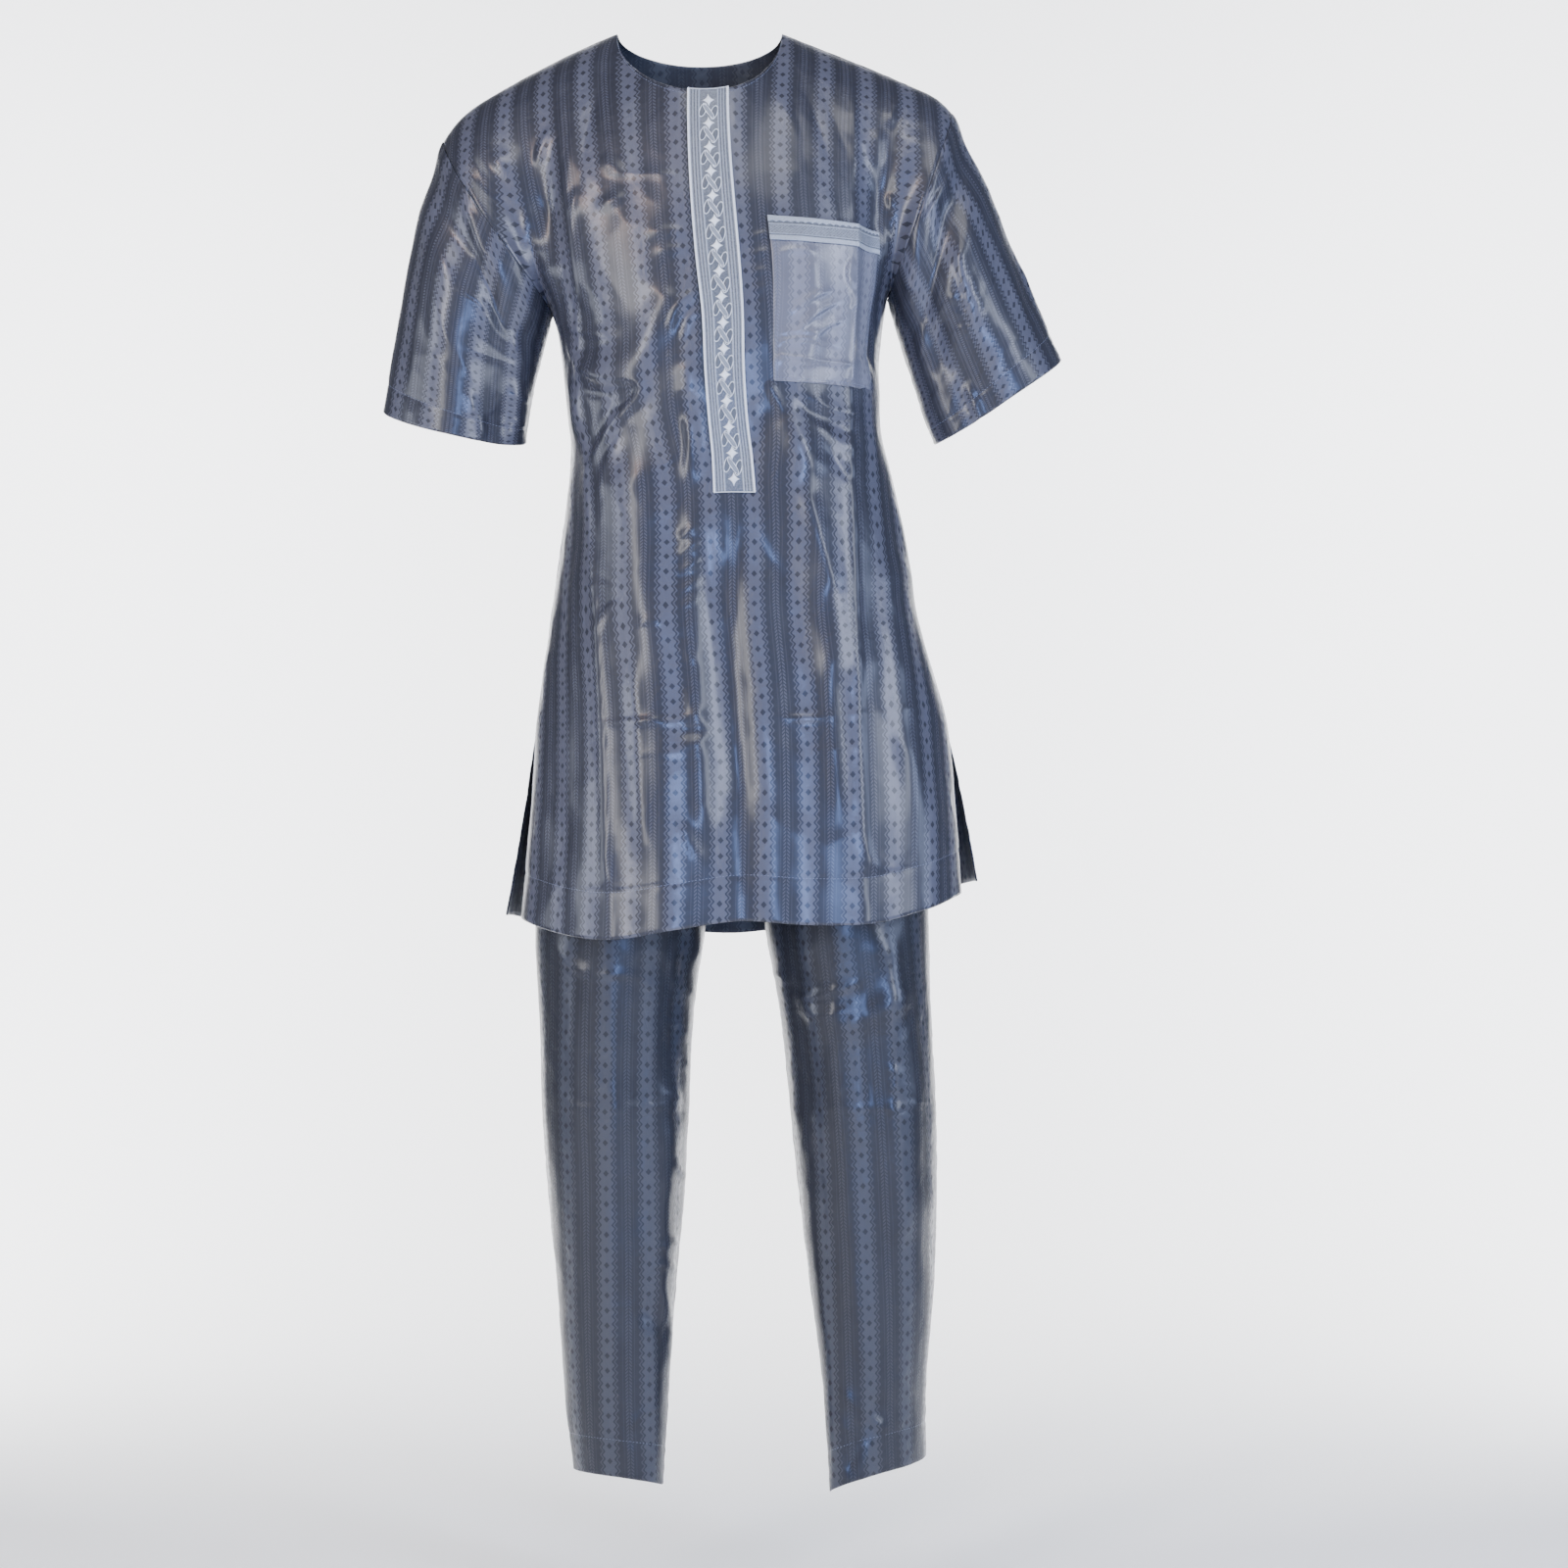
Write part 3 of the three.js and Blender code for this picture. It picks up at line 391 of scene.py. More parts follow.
@dataclass
class Soup:
    """Points and faces of a mesh that is being put together, in mm."""

    points: list[Array] = field(default_factory=list)
    faces: list[Array] = field(default_factory=list)
    finishes: list[Array] = field(default_factory=list)
    places: list[Array] = field(default_factory=list)
    tones: list[Array] = field(default_factory=list)
    count: int = 0

    def add(
        self,
        points: Array,
        faces: Sequence[Array],
        finish: int = 0,
        places: Array | None = None,
        tone: Array | float = 0.0,
    ) -> None:
        """Adds points with their faces.

        Args:
            points: any number of points.
            faces: arrays of corner numbers, three or four to a face, counted from the first point.
            finish: which of the object's materials the faces have.
            places: where each point lies on the flat cloth, in mm.
            tone: how light each point's thread is, from 0 to 1.
        """
        flat = points.reshape(-1, 3)
        self.points.append(flat)
        for group in faces:
            self.faces.append(group.reshape(-1, group.shape[-1]) + self.count)
            self.finishes.append(np.full(len(self.faces[-1]), finish))
        places = np.zeros((len(flat), 2)) if places is None else places.reshape(-1, 2)
        self.places.append(places)
        self.tones.append(np.broadcast_to(np.asarray(tone, float).reshape(-1), len(flat)))
        self.count += len(flat)

    def finished(self, name: str, materials: Sequence[bpy.types.Material]) -> bpy.types.Object:
        """Makes the mesh object, smooth shaded, with its flat places as a UV map in mm.

        Args:
            name: name of the piece.
            materials: its materials, in the order of the faces' finish numbers.

        Returns:
            The object, linked to the scene.
        """
        mesh = bpy.data.meshes.new(name)
        points = np.concatenate(self.points) * MM
        corners = np.concatenate([group.reshape(-1) for group in self.faces])
        totals = np.concatenate([np.full(len(group), group.shape[1]) for group in self.faces])
        starts = np.concatenate([[0], np.cumsum(totals)[:-1]])
        mesh.vertices.add(len(points))
        mesh.vertices.foreach_set("co", points.astype(np.float32).reshape(-1))
        mesh.loops.add(len(corners))
        mesh.loops.foreach_set("vertex_index", corners.astype(np.int32))
        mesh.polygons.add(len(totals))
        mesh.polygons.foreach_set("loop_start", starts.astype(np.int32))
        mesh.polygons.foreach_set("loop_total", totals.astype(np.int32))
        mesh.polygons.foreach_set("material_index", np.concatenate(self.finishes).astype(np.int32))
        mesh.polygons.foreach_set("use_smooth", np.ones(len(totals), bool))
        mesh.update(calc_edges=True)
        layer = mesh.uv_layers.new(name="cloth")
        layer.data.foreach_set("uv", np.concatenate(self.places)[corners].astype(np.float32).reshape(-1))
        tone = mesh.attributes.new("tone", "FLOAT", "POINT")
        tone.data.foreach_set("value", np.concatenate(self.tones).astype(np.float32))
        mesh.validate()
        for material in materials:
            mesh.materials.append(material)
        piece = bpy.data.objects.new(name, mesh)
        bpy.context.collection.objects.link(piece)
        return piece


def grid_quads(rows: int, columns: int, turn: int, start: int = 0) -> Array:
    """Corner numbers of a grid's squares, going round so that they face out."""
    corner = start + np.arange(rows * columns).reshape(rows, columns)
    quads = np.stack([corner[:-1, :-1], corner[:-1, 1:], corner[1:, 1:], corner[1:, :-1]], axis=-1)
    return quads if turn > 0 else quads[..., ::-1]


def shell(
    soup: Soup,
    points: Array,
    normals: Array,
    places: Array,
    thickness: Array | float,
    turn: int,
    wrong_side: int = 1,
    tone: Array | float = 0.0,
) -> None:
    """Adds a closed thin shell: the grid, its copy moved in by the thickness, and a rounded rim.

    The rim's middle line lies half the thickness outside the grid's edge, in the plane of the cloth.

    Args:
        soup: the mesh that it is added to.
        points: outer grid, rows by columns.
        normals: outward normals of the grid.
        places: flat places of the grid.
        thickness: one value or one for each point, in mm.
        turn: 1 where across times up points out, else -1.
        wrong_side: number of the finish of the inner face.
        tone: how light each point's thread is.
    """
    rows, columns = points.shape[:2]
    thick = np.broadcast_to(np.asarray(thickness, float), (rows, columns))
    inner = points - normals * thick[..., None]
    corner = np.arange(rows * columns).reshape(rows, columns)
    edge = np.concatenate([corner[0, :-1], corner[:-1, -1], corner[-1, :0:-1], corner[:0:-1, 0]])
    away = np.zeros_like(points)
    away[:, 0] = points[:, 0] - points[:, 1]
    away[:, -1] = points[:, -1] - points[:, -2]
    away[0] = points[0] - points[1]
    away[-1] = points[-1] - points[-2]
    outward = unit(away.reshape(-1, 3)[edge])
    middle = (points + inner).reshape(-1, 3)[edge] / 2
    middle = middle + outward * (thick.reshape(-1)[edge][:, None] / 2)
    size, ring = rows * columns, len(edge)
    around = 2 * size + np.arange(ring)
    ahead, beyond = np.roll(edge, -1), np.roll(around, -1)
    rim = [np.stack([around, beyond, ahead, edge], -1)]
    rim.append(np.stack([edge + size, ahead + size, beyond, around], -1))
    if turn < 0:
        rim = [quads[:, ::-1] for quads in rim]
    flat = places.reshape(-1, 2)
    tones = np.broadcast_to(np.asarray(tone, float), (rows, columns)).reshape(-1)
    every = np.concatenate([points.reshape(-1, 3), inner.reshape(-1, 3), middle])
    every_place = np.concatenate([flat, flat, flat[edge]])
    every_tone = np.concatenate([tones, tones, tones[edge]])
    start = soup.count
    soup.add(every, [grid_quads(rows, columns, turn), *rim], 0, every_place, every_tone)
    soup.faces.append(grid_quads(rows, columns, -turn, start + size).reshape(-1, 4))
    soup.finishes.append(np.full(len(soup.faces[-1]), wrong_side))


def tube(
    soup: Soup, path: Array, normals: Array, radius: Array | float, sides: int, tone: float = 1.0
) -> None:
    """Adds a closed tube along a path, a circle carried along it, with a pole at each end.

    Args:
        soup: the mesh that it is added to.
        path: points of the tube's middle line.
        normals: a direction across the path for each point.
        radius: one value or one for each point, in mm.
        sides: number of sides of the circle.
        tone: how light its thread is.
    """
    along = unit(np.gradient(path, axis=0))
    up = unit(normals - along * dot(normals, along))
    side = np.cross(along, up)
    angle = full_turn(sides)
    ring = up[:, None] * np.cos(angle)[:, None] + side[:, None] * np.sin(angle)[:, None]
    size = np.broadcast_to(np.asarray(radius, float), len(path))[:, None, None]
    points = path[:, None] + ring * size
    poles = np.stack([path[0] - along[0] * size[0, 0], path[-1] + along[-1] * size[-1, 0]])
    corner = np.arange(len(path) * sides).reshape(-1, sides)
    ahead = np.roll(corner, -1, axis=1)
    walls = np.stack([corner[:-1], ahead[:-1], ahead[1:], corner[1:]], -1)
    first, last = corner.size, corner.size + 1
    caps = [
        np.stack([np.full(sides, first), ahead[0], corner[0]], -1),
        np.stack([np.full(sides, last), corner[-1], ahead[-1]], -1),
    ]
    soup.add(np.concatenate([points.reshape(-1, 3), poles]), [walls, *caps], 0, None, tone)


def scatter(
    soup: Soup,
    form: tuple[Array, list[Array]],
    origins: Array,
    across: Array,
    normals: Array,
    tone: float = 1.0,
) -> None:
    """Adds one copy of a small form at each place.

    Args:
        soup: the mesh that they are added to.
        form: points with x across, y along and z out, and their faces.
        origins: where each copy's origin goes.
        across: direction of each copy's x.
        normals: direction of each copy's z.
        tone: how light its thread is.
    """
    points, faces = form
    side = unit(across - normals * dot(across, normals))
    along = np.cross(normals, side)
    placed = origins[:, None] + side[:, None] * points[:, :1] + along[:, None] * points[:, 1:2]
    placed = placed + normals[:, None] * points[:, 2:]
    shift = (np.arange(len(origins)) * len(points))[:, None, None]
    soup.add(placed, [group[None] + shift for group in faces], 0, None, tone)


def dome(radius: Array, heights: Sequence[float], shares: Sequence[float]) -> tuple[Array, list[Array]]:
    """A closed low dome whose outline is a radius for each angle.

    Ring i lies at a share of the radius and at a height, the last ring is the foot, and a point closes
    the top and another the underside.

    Args:
        radius: outline, from the x axis round.
        heights: height of the top point and then of each ring.
        shares: share of the radius of each ring.

    Returns:
        Its points and its faces.
    """
    count = len(radius)
    angle = full_turn(count)
    outline = np.stack([radius * np.cos(angle), radius * np.sin(angle)], -1)
    rings = [np.column_stack([outline * s, np.full(count, h)]) for s, h in zip(shares, heights[1:])]
    points = np.concatenate([*rings, [[0, 0, heights[0]], [0, 0, heights[-1]]]])
    corner = np.arange(count * len(rings)).reshape(-1, count)
    ahead = np.roll(corner, -1, axis=1)
    top, foot = corner.size, corner.size + 1
    walls = np.stack([corner[1:], ahead[1:], ahead[:-1], corner[:-1]], -1).reshape(-1, 4)
    caps = [
        np.stack([np.full(count, top), corner[0], ahead[0]], -1),
        np.stack([np.full(count, foot), ahead[-1], corner[-1]], -1),
    ]
    return points, [walls, *caps]


def linear(colour: str) -> tuple[float, float, float, float]:
    """Turns an sRGB hex colour such as #8090a0 to linear light, by the standard's two-part curve."""
    parts = [int(colour[i : i + 2], 16) / 255 for i in (1, 3, 5)]
    lit = [p / 12.92 if p <= 0.04045 else ((p + 0.055) / 1.055) ** 2.4 for p in parts]
    return (lit[0], lit[1], lit[2], 1.0)


Input = bpy.types.NodeSocket | float | tuple


def add_node(
    tree: bpy.types.NodeTree, kind: str, inputs: dict[int | str, Input] | None = None, **settings: object
) -> bpy.types.Node:
    """Adds a node with its settings, its values and its links.

    Args:
        tree: the material's node tree.
        kind: type name of the node.
        inputs: a value or another node's output for each input, by name or number.
        settings: properties of the node.

    Returns:
        The node.
    """
    node = tree.nodes.new(kind)
    for name, value in settings.items():
        setattr(node, name, value)
    for name, value in (inputs or {}).items():
        if isinstance(value, bpy.types.NodeSocket):
            tree.links.new(value, node.inputs[name])
        else:
            node.inputs[name].default_value = value
    return node


def work_out(tree: bpy.types.NodeTree, known: dict[str, Input], steps: Sequence[tuple]) -> dict[str, Input]:
    """Adds the math of a chart: each step is a name, an operation and its inputs.

    Args:
        tree: the material's node tree.
        known: outputs and values that the steps can name.
        steps: name, operation, and inputs that are numbers or names of earlier steps.

    Returns:
        What is known, with each step's output added.
    """
    for name, operation, *inputs in steps:
        given = {i: known[v] if isinstance(v, str) else v for i, v in enumerate(inputs)}
        known[name] = add_node(tree, "ShaderNodeMath", given, operation=operation).outputs[0]
    return known


def new_material(name: str) -> tuple[bpy.types.Material, bpy.types.NodeTree, bpy.types.Node]:
    """A new material with the usual shader, given with its node tree and that shader."""
    material = bpy.data.materials.new(name)
    material.use_nodes = True
    return material, material.node_tree, material.node_tree.nodes["Principled BSDF"]


def set_values(node: bpy.types.Node, values: dict[str, float | tuple]) -> None:
    """Sets a node's inputs to plain values, by name."""
    for name, value in values.items():
        node.inputs[name].default_value = value


@dataclass(frozen=True)
class Damask:
    """Glazed cotton damask, woven in stripes and beaten to a shine.

    The warp-faced figures reflect more than the ground, and the beaten glaze lies over both: soft broad
    highlights on every fold, pale at the rims and deep in the troughs.
    """

    name: str = "glazed cotton damask"
    ground: str = "#23252f"
    figure: str = "#4a4c59"
    repeat: float = 43.0
    shift: float = 0.0
    roughness: float = 0.45
    glaze: float = 0.5
    glaze_roughness: float = 0.23
    sheen: float = 0.03
    grain_bump: float = 0.5

    def chart(self) -> list[tuple]:
        """The woven stripes. A scalloped band with diamonds is followed by a wavy line, a plain ground
        stripe and half of a chevron braid, and then all of it mirrored."""
        half = self.repeat / 2
        turn = 2 * math.pi
        return [
            ("place", "ADD", "u", self.shift),
            ("off", "PINGPONG", "place", half),
            ("far", "SUBTRACT", half, "off"),
            ("lobe angle", "MULTIPLY", "v", turn / 7.75),
            ("lobe", "SINE", "lobe angle"),
            ("lobed", "MULTIPLY_ADD", "lobe", 1.35, "off"),
            ("band", "LESS_THAN", "lobed", 6.3),
            ("line", "COMPARE", "lobed", 8.9, 0.8),
            ("up", "PINGPONG", "v", 7.75),
            ("diamond off", "DIVIDE", "off", 2.9),
            ("diamond", "MULTIPLY_ADD", "up", 0.3, "diamond off"),
            ("in diamond", "LESS_THAN", "diamond", 1.0),
            ("plain band", "SUBTRACT", "band", "in diamond"),
            ("chevron place", "ADD", "v", "far"),
            ("chevron angle", "MULTIPLY", "chevron place", turn / 3.6),
            ("chevron", "SINE", "chevron angle"),
            ("strand", "GREATER_THAN", "chevron", -0.2),
            ("cord", "COMPARE", "far", 1.9, 1.3),
            ("braid", "MULTIPLY", "cord", "strand"),
            ("pale braid", "MULTIPLY", "braid", 0.62),
            ("pin", "COMPARE", "off", 15.6, 0.5),
            ("pale pin", "MULTIPLY", "pin", 0.22),
            ("pale line", "MULTIPLY", "line", 0.7),
            ("figures", "MAXIMUM", "plain band", "pale line"),
            ("others", "MAXIMUM", "pale braid", "pale pin"),
            ("tone", "MAXIMUM", "figures", "others"),
        ]

    def material(self) -> bpy.types.Material:
        """Builds the material on the piece's own flat places."""
        material, tree, shader = new_material(self.name)
        place = add_node(tree, "ShaderNodeUVMap", uv_map="cloth")
        parts = add_node(tree, "ShaderNodeSeparateXYZ", {0: place.outputs[0]})
        known = work_out(tree, {"u": parts.outputs[0], "v": parts.outputs[1]}, self.chart())
        # Uneven glaze: patches of about 60 mm where the beating has pressed more or less
        worn = add_node(tree, "ShaderNodeMapping", {0: place.outputs[0], 3: (1 / 62, 1 / 110, 1)})
        patches = add_node(tree, "ShaderNodeTexNoise", {0: worn.outputs[0], "Scale": 1.0, "Detail": 3.0})
        shade = add_node(
            tree, "ShaderNodeMapRange", {0: patches.outputs[0], 1: 0.3, 2: 0.7, 3: -0.1, 4: 0.1}
        )
        toned = add_node(tree, "ShaderNodeMath", {0: known["tone"], 1: shade.outputs[0]}, operation="ADD")
        colour = add_node(
            tree,
            "ShaderNodeMix",
            {0: toned.outputs[0], 6: linear(self.ground), 7: linear(self.figure)},
            data_type="RGBA",
        )
        # Warp-faced figures are a little smoother than the ground
        gloss = add_node(
            tree,
            "ShaderNodeMapRange",
            {0: toned.outputs[0], 1: 0.0, 2: 1.0, 3: self.roughness + 0.1, 4: self.roughness - 0.1},
        )
        # Crinkles of the stiff glaze, 5 to 15 mm apart, and the weave, drawn at 1.6 mm where the
        # threads are 0.3 mm, because thinner ones wouldn't show
        crinkled = add_node(tree, "ShaderNodeMapping", {0: place.outputs[0], 3: (1 / 14, 1 / 17, 1)})
        crinkle = add_node(
            tree,
            "ShaderNodeTexNoise",
            {0: crinkled.outputs[0], "Scale": 1.0, "Detail": 3.0, "Roughness": 0.55, "Distortion": 0.6},
        )
        woven = add_node(tree, "ShaderNodeMapping", {0: place.outputs[0], 3: (1 / 1.6, 1 / 2.4, 1)})
        weave = add_node(tree, "ShaderNodeTexNoise", {0: woven.outputs[0], "Scale": 1.0, "Detail": 0.0})
        height = work_out(
            tree,
            {"crinkle": crinkle.outputs[0], "weave": weave.outputs[0], "tone": known["tone"]},
            [
                ("crinkles", "MULTIPLY", "crinkle", 3.2),
                ("with weave", "MULTIPLY_ADD", "weave", 0.1, "crinkles"),
                ("height", "MULTIPLY_ADD", "tone", 0.07, "with weave"),
            ],
        )["height"]
        bump = add_node(
            tree, "ShaderNodeBump", {"Strength": self.grain_bump, "Distance": 0.001, "Height": height}
        )
        for socket, source in (("Base Color", colour.outputs[2]), ("Roughness", gloss.outputs[0])):
            tree.links.new(source, shader.inputs[socket])
        tree.links.new(bump.outputs[0], shader.inputs["Normal"])
        values = {
            "Coat Weight": self.glaze,
            "Coat Roughness": self.glaze_roughness,
            "Coat IOR": 1.5,
            "Specular IOR Level": 0.25,
            "Sheen Weight": self.sheen,
            "Sheen Roughness": 0.4,
            "IOR": 1.5,
        }
        set_values(shader, values)
        return material


@dataclass(frozen=True)
class Thread:
    """Spun and twisted yarn, such as the braid's cords and the sewing thread.

    It has a pale fibre sheen and fine twist lines, which show as a broken highlight. The dark tone is
    where the attribute named tone is 0, and the light one where it is 1.
    """

    name: str
    dark: str
    light: str
    twist: float = 1.2
    roughness: float = 0.5
    sheen: float = 0.3
    metallic: float = 0.0
    relief: float = 0.3

    def material(self) -> bpy.types.Material:
        """Builds the material on Object coordinates and the tone attribute."""
        material, tree, shader = new_material(self.name)
        tone = add_node(tree, "ShaderNodeAttribute", attribute_name="tone")
        place = add_node(tree, "ShaderNodeTexCoord")
        size = 1 / (self.twist * MM)
        scaled = add_node(tree, "ShaderNodeMapping", {0: place.outputs["Object"], 3: (size, size, size)})
        fibre = add_node(tree, "ShaderNodeTexNoise", {0: scaled.outputs[0], "Scale": 1.0, "Detail": 1.0})
        mottled = add_node(
            tree, "ShaderNodeMapRange", {0: fibre.outputs[0], 1: 0.35, 2: 0.65, 3: -0.14, 4: 0.14}
        )
        toned = add_node(
            tree, "ShaderNodeMath", {0: tone.outputs["Fac"], 1: mottled.outputs[0]}, operation="ADD"
        )
        colour = add_node(
            tree,
            "ShaderNodeMix",
            {0: toned.outputs[0], 6: linear(self.dark), 7: linear(self.light)},
            data_type="RGBA",
        )
        bump = add_node(
            tree,
            "ShaderNodeBump",
            {"Strength": self.relief, "Distance": 0.0005, "Height": fibre.outputs[0]},
        )
        tree.links.new(colour.outputs[2], shader.inputs["Base Color"])
        tree.links.new(bump.outputs[0], shader.inputs["Normal"])
        values = {"Roughness": self.roughness, "Metallic": self.metallic, "Sheen Weight": self.sheen}
        set_values(shader, values)
        return material


@dataclass(frozen=True)
class Stitching:
    """A run of lockstitch: short raised threads with a gap between each two."""

    pitch: float = 3.4
    length: float = 2.5
    radius: float = 0.24

    def form(self) -> tuple[Array, list[Array]]:
        """One stitch, a spindle of six sides along x."""
        sides = 6
        angle = full_turn(sides)
        rings = [(-0.38, 0.75), (0.0, 1.0), (0.38, 0.75)]
        round_x, round_y = self.radius * np.cos(angle), self.radius * np.sin(angle)
        points = [stack(x * self.length, r * round_x, r * round_y) for x, r in rings]
        poles = [[-self.length / 2, 0, -self.radius], [self.length / 2, 0, -self.radius]]
        corner = np.arange(len(rings) * sides).reshape(-1, sides)
        ahead = np.roll(corner, -1, axis=1)
        walls = np.stack([corner[:-1], corner[1:], ahead[1:], ahead[:-1]], -1)
        walls = walls[..., ::-1].reshape(-1, 4)
        caps = [
            np.stack([np.full(sides, corner.size), ahead[0], corner[0]], -1),
            np.stack([np.full(sides, corner.size + 1), corner[-1], ahead[-1]], -1),
        ]
        return np.concatenate([*points, poles]), [walls, *caps]

    def sew(self, soup: Soup, surface: Surface, a: Array, b: Array, turn: int) -> None:
        """Adds stitches along a line on a surface.

        The line's points are joined and cut at equal lengths, and a stitch lies along each cut.

        Args:
            soup: the mesh that the stitches are added to.
            surface: gives a point for two parameters.
            a: the line's first parameter, at many places.
            b: the line's second parameter.
            turn: 1 where across times up points out, else -1.
        """
        path = surface(a, b)
        length = length_along(path)
        count = int(length[-1] / self.pitch)
        at = (np.arange(count) + 0.5) * length[-1] / count
        a_at, b_at = np.interp(at, length, a), np.interp(at, length, b)
        points, normals = facing(surface, a_at, b_at, turn)
        along = unit(np.gradient(points, axis=0))
        scatter(soup, self.form(), points + normals * self.radius * 0.5, along, normals)


# Shares of the height on the panels' side edges, at the ends of the armhole seam's nine equal parts
YOKE_ROWS = (1.0, 1.1, 1.2, 1.32, 1.44, 1.56, 1.68, 1.8, 1.91, 2.0)
PANEL_LIE = Lie((1.1, 46), (0.8, 58), (0.42, 27))
SLEEVE_LIE = Lie((1.0, 40), (0.8, 50), (0.42, 24))
LEG_LIE = Lie((0.9, 44), (0.7, 54), (0.36, 26), 4)

# In the tables a fold is its width, its depth, its path and, where it isn't the usual one, its taper.
# Main folds of the tunic, as x and z in the view from the front or the back
TUNIC_FOLDS = {
    Face.FRONT: (
        crease(26, 5, ((-126, -90), (-131, -290), (-113, -480), (-95, -666), (-81, -925)), 0),
        crease(26, 5, ((152, -95), (149, -367), (153, -560), (157, -695), (164, -915)), 0),
        Fold(30, 8, ((-66, -470), (-44, -640), (-28, -900))),
        Fold(24, -6, ((6, -560), (32, -720), (48, -900))),
        Fold(22, 6, ((100, -430), (122, -560), (136, -640))),
        Fold(26, -5, ((92, -560), (100, -700), (104, -900))),
        Fold(24, 6, ((196, -560), (214, -720), (226, -900))),
        Fold(24, -6, ((-122, -430), (-134, -620), (-142, -900))),
        Fold(15, -6, ((-150, -190), (-134, -250), (-118, -330))),
        Fold(13, 5, ((-196, -140), (-172, -190), (-150, -246))),
        Fold(15, -6, ((183, -170), (172, -240), (168, -330))),
        Fold(13, 5, ((212, -120), (196, -170), (188, -220))),
        Fold(16, 4, ((-100, -352), (-60, -344), (-30, -290))),
        Fold(20, -4, ((60, -400), (46, -470), (70, -540))),
    ),
    Face.BACK: (
        crease(26, 5, ((-122, -70), (-127, -290), (-112, -480), (-96, -700), (-88, -925)), 0),
        crease(26, 5, ((150, -70), (148, -367), (153, -560), (160, -720), (168, -925)), 0),
        Fold(30, 7, ((-30, -430), (-36, -640), (-50, -910))),
        Fold(26, -6, ((24, -400), (34, -600), (30, -910))),
        Fold(28, 7, ((84, -460), (94, -700), (106, -910))),
        Fold(22, -6, ((-128, -470), (-136, -640), (-146, -900))),
        Fold(22, -6, ((186, -480), (206, -640), (222, -900))),
        Fold(16, -6, ((-152, -200), (-132, -270), (-112, -350))),
        Fold(16, -6, ((186, -190), (170, -262), (152, -344))),
        Fold(22, 5, ((-84, -120), (20, -150), (120, -118))),
    ),
}

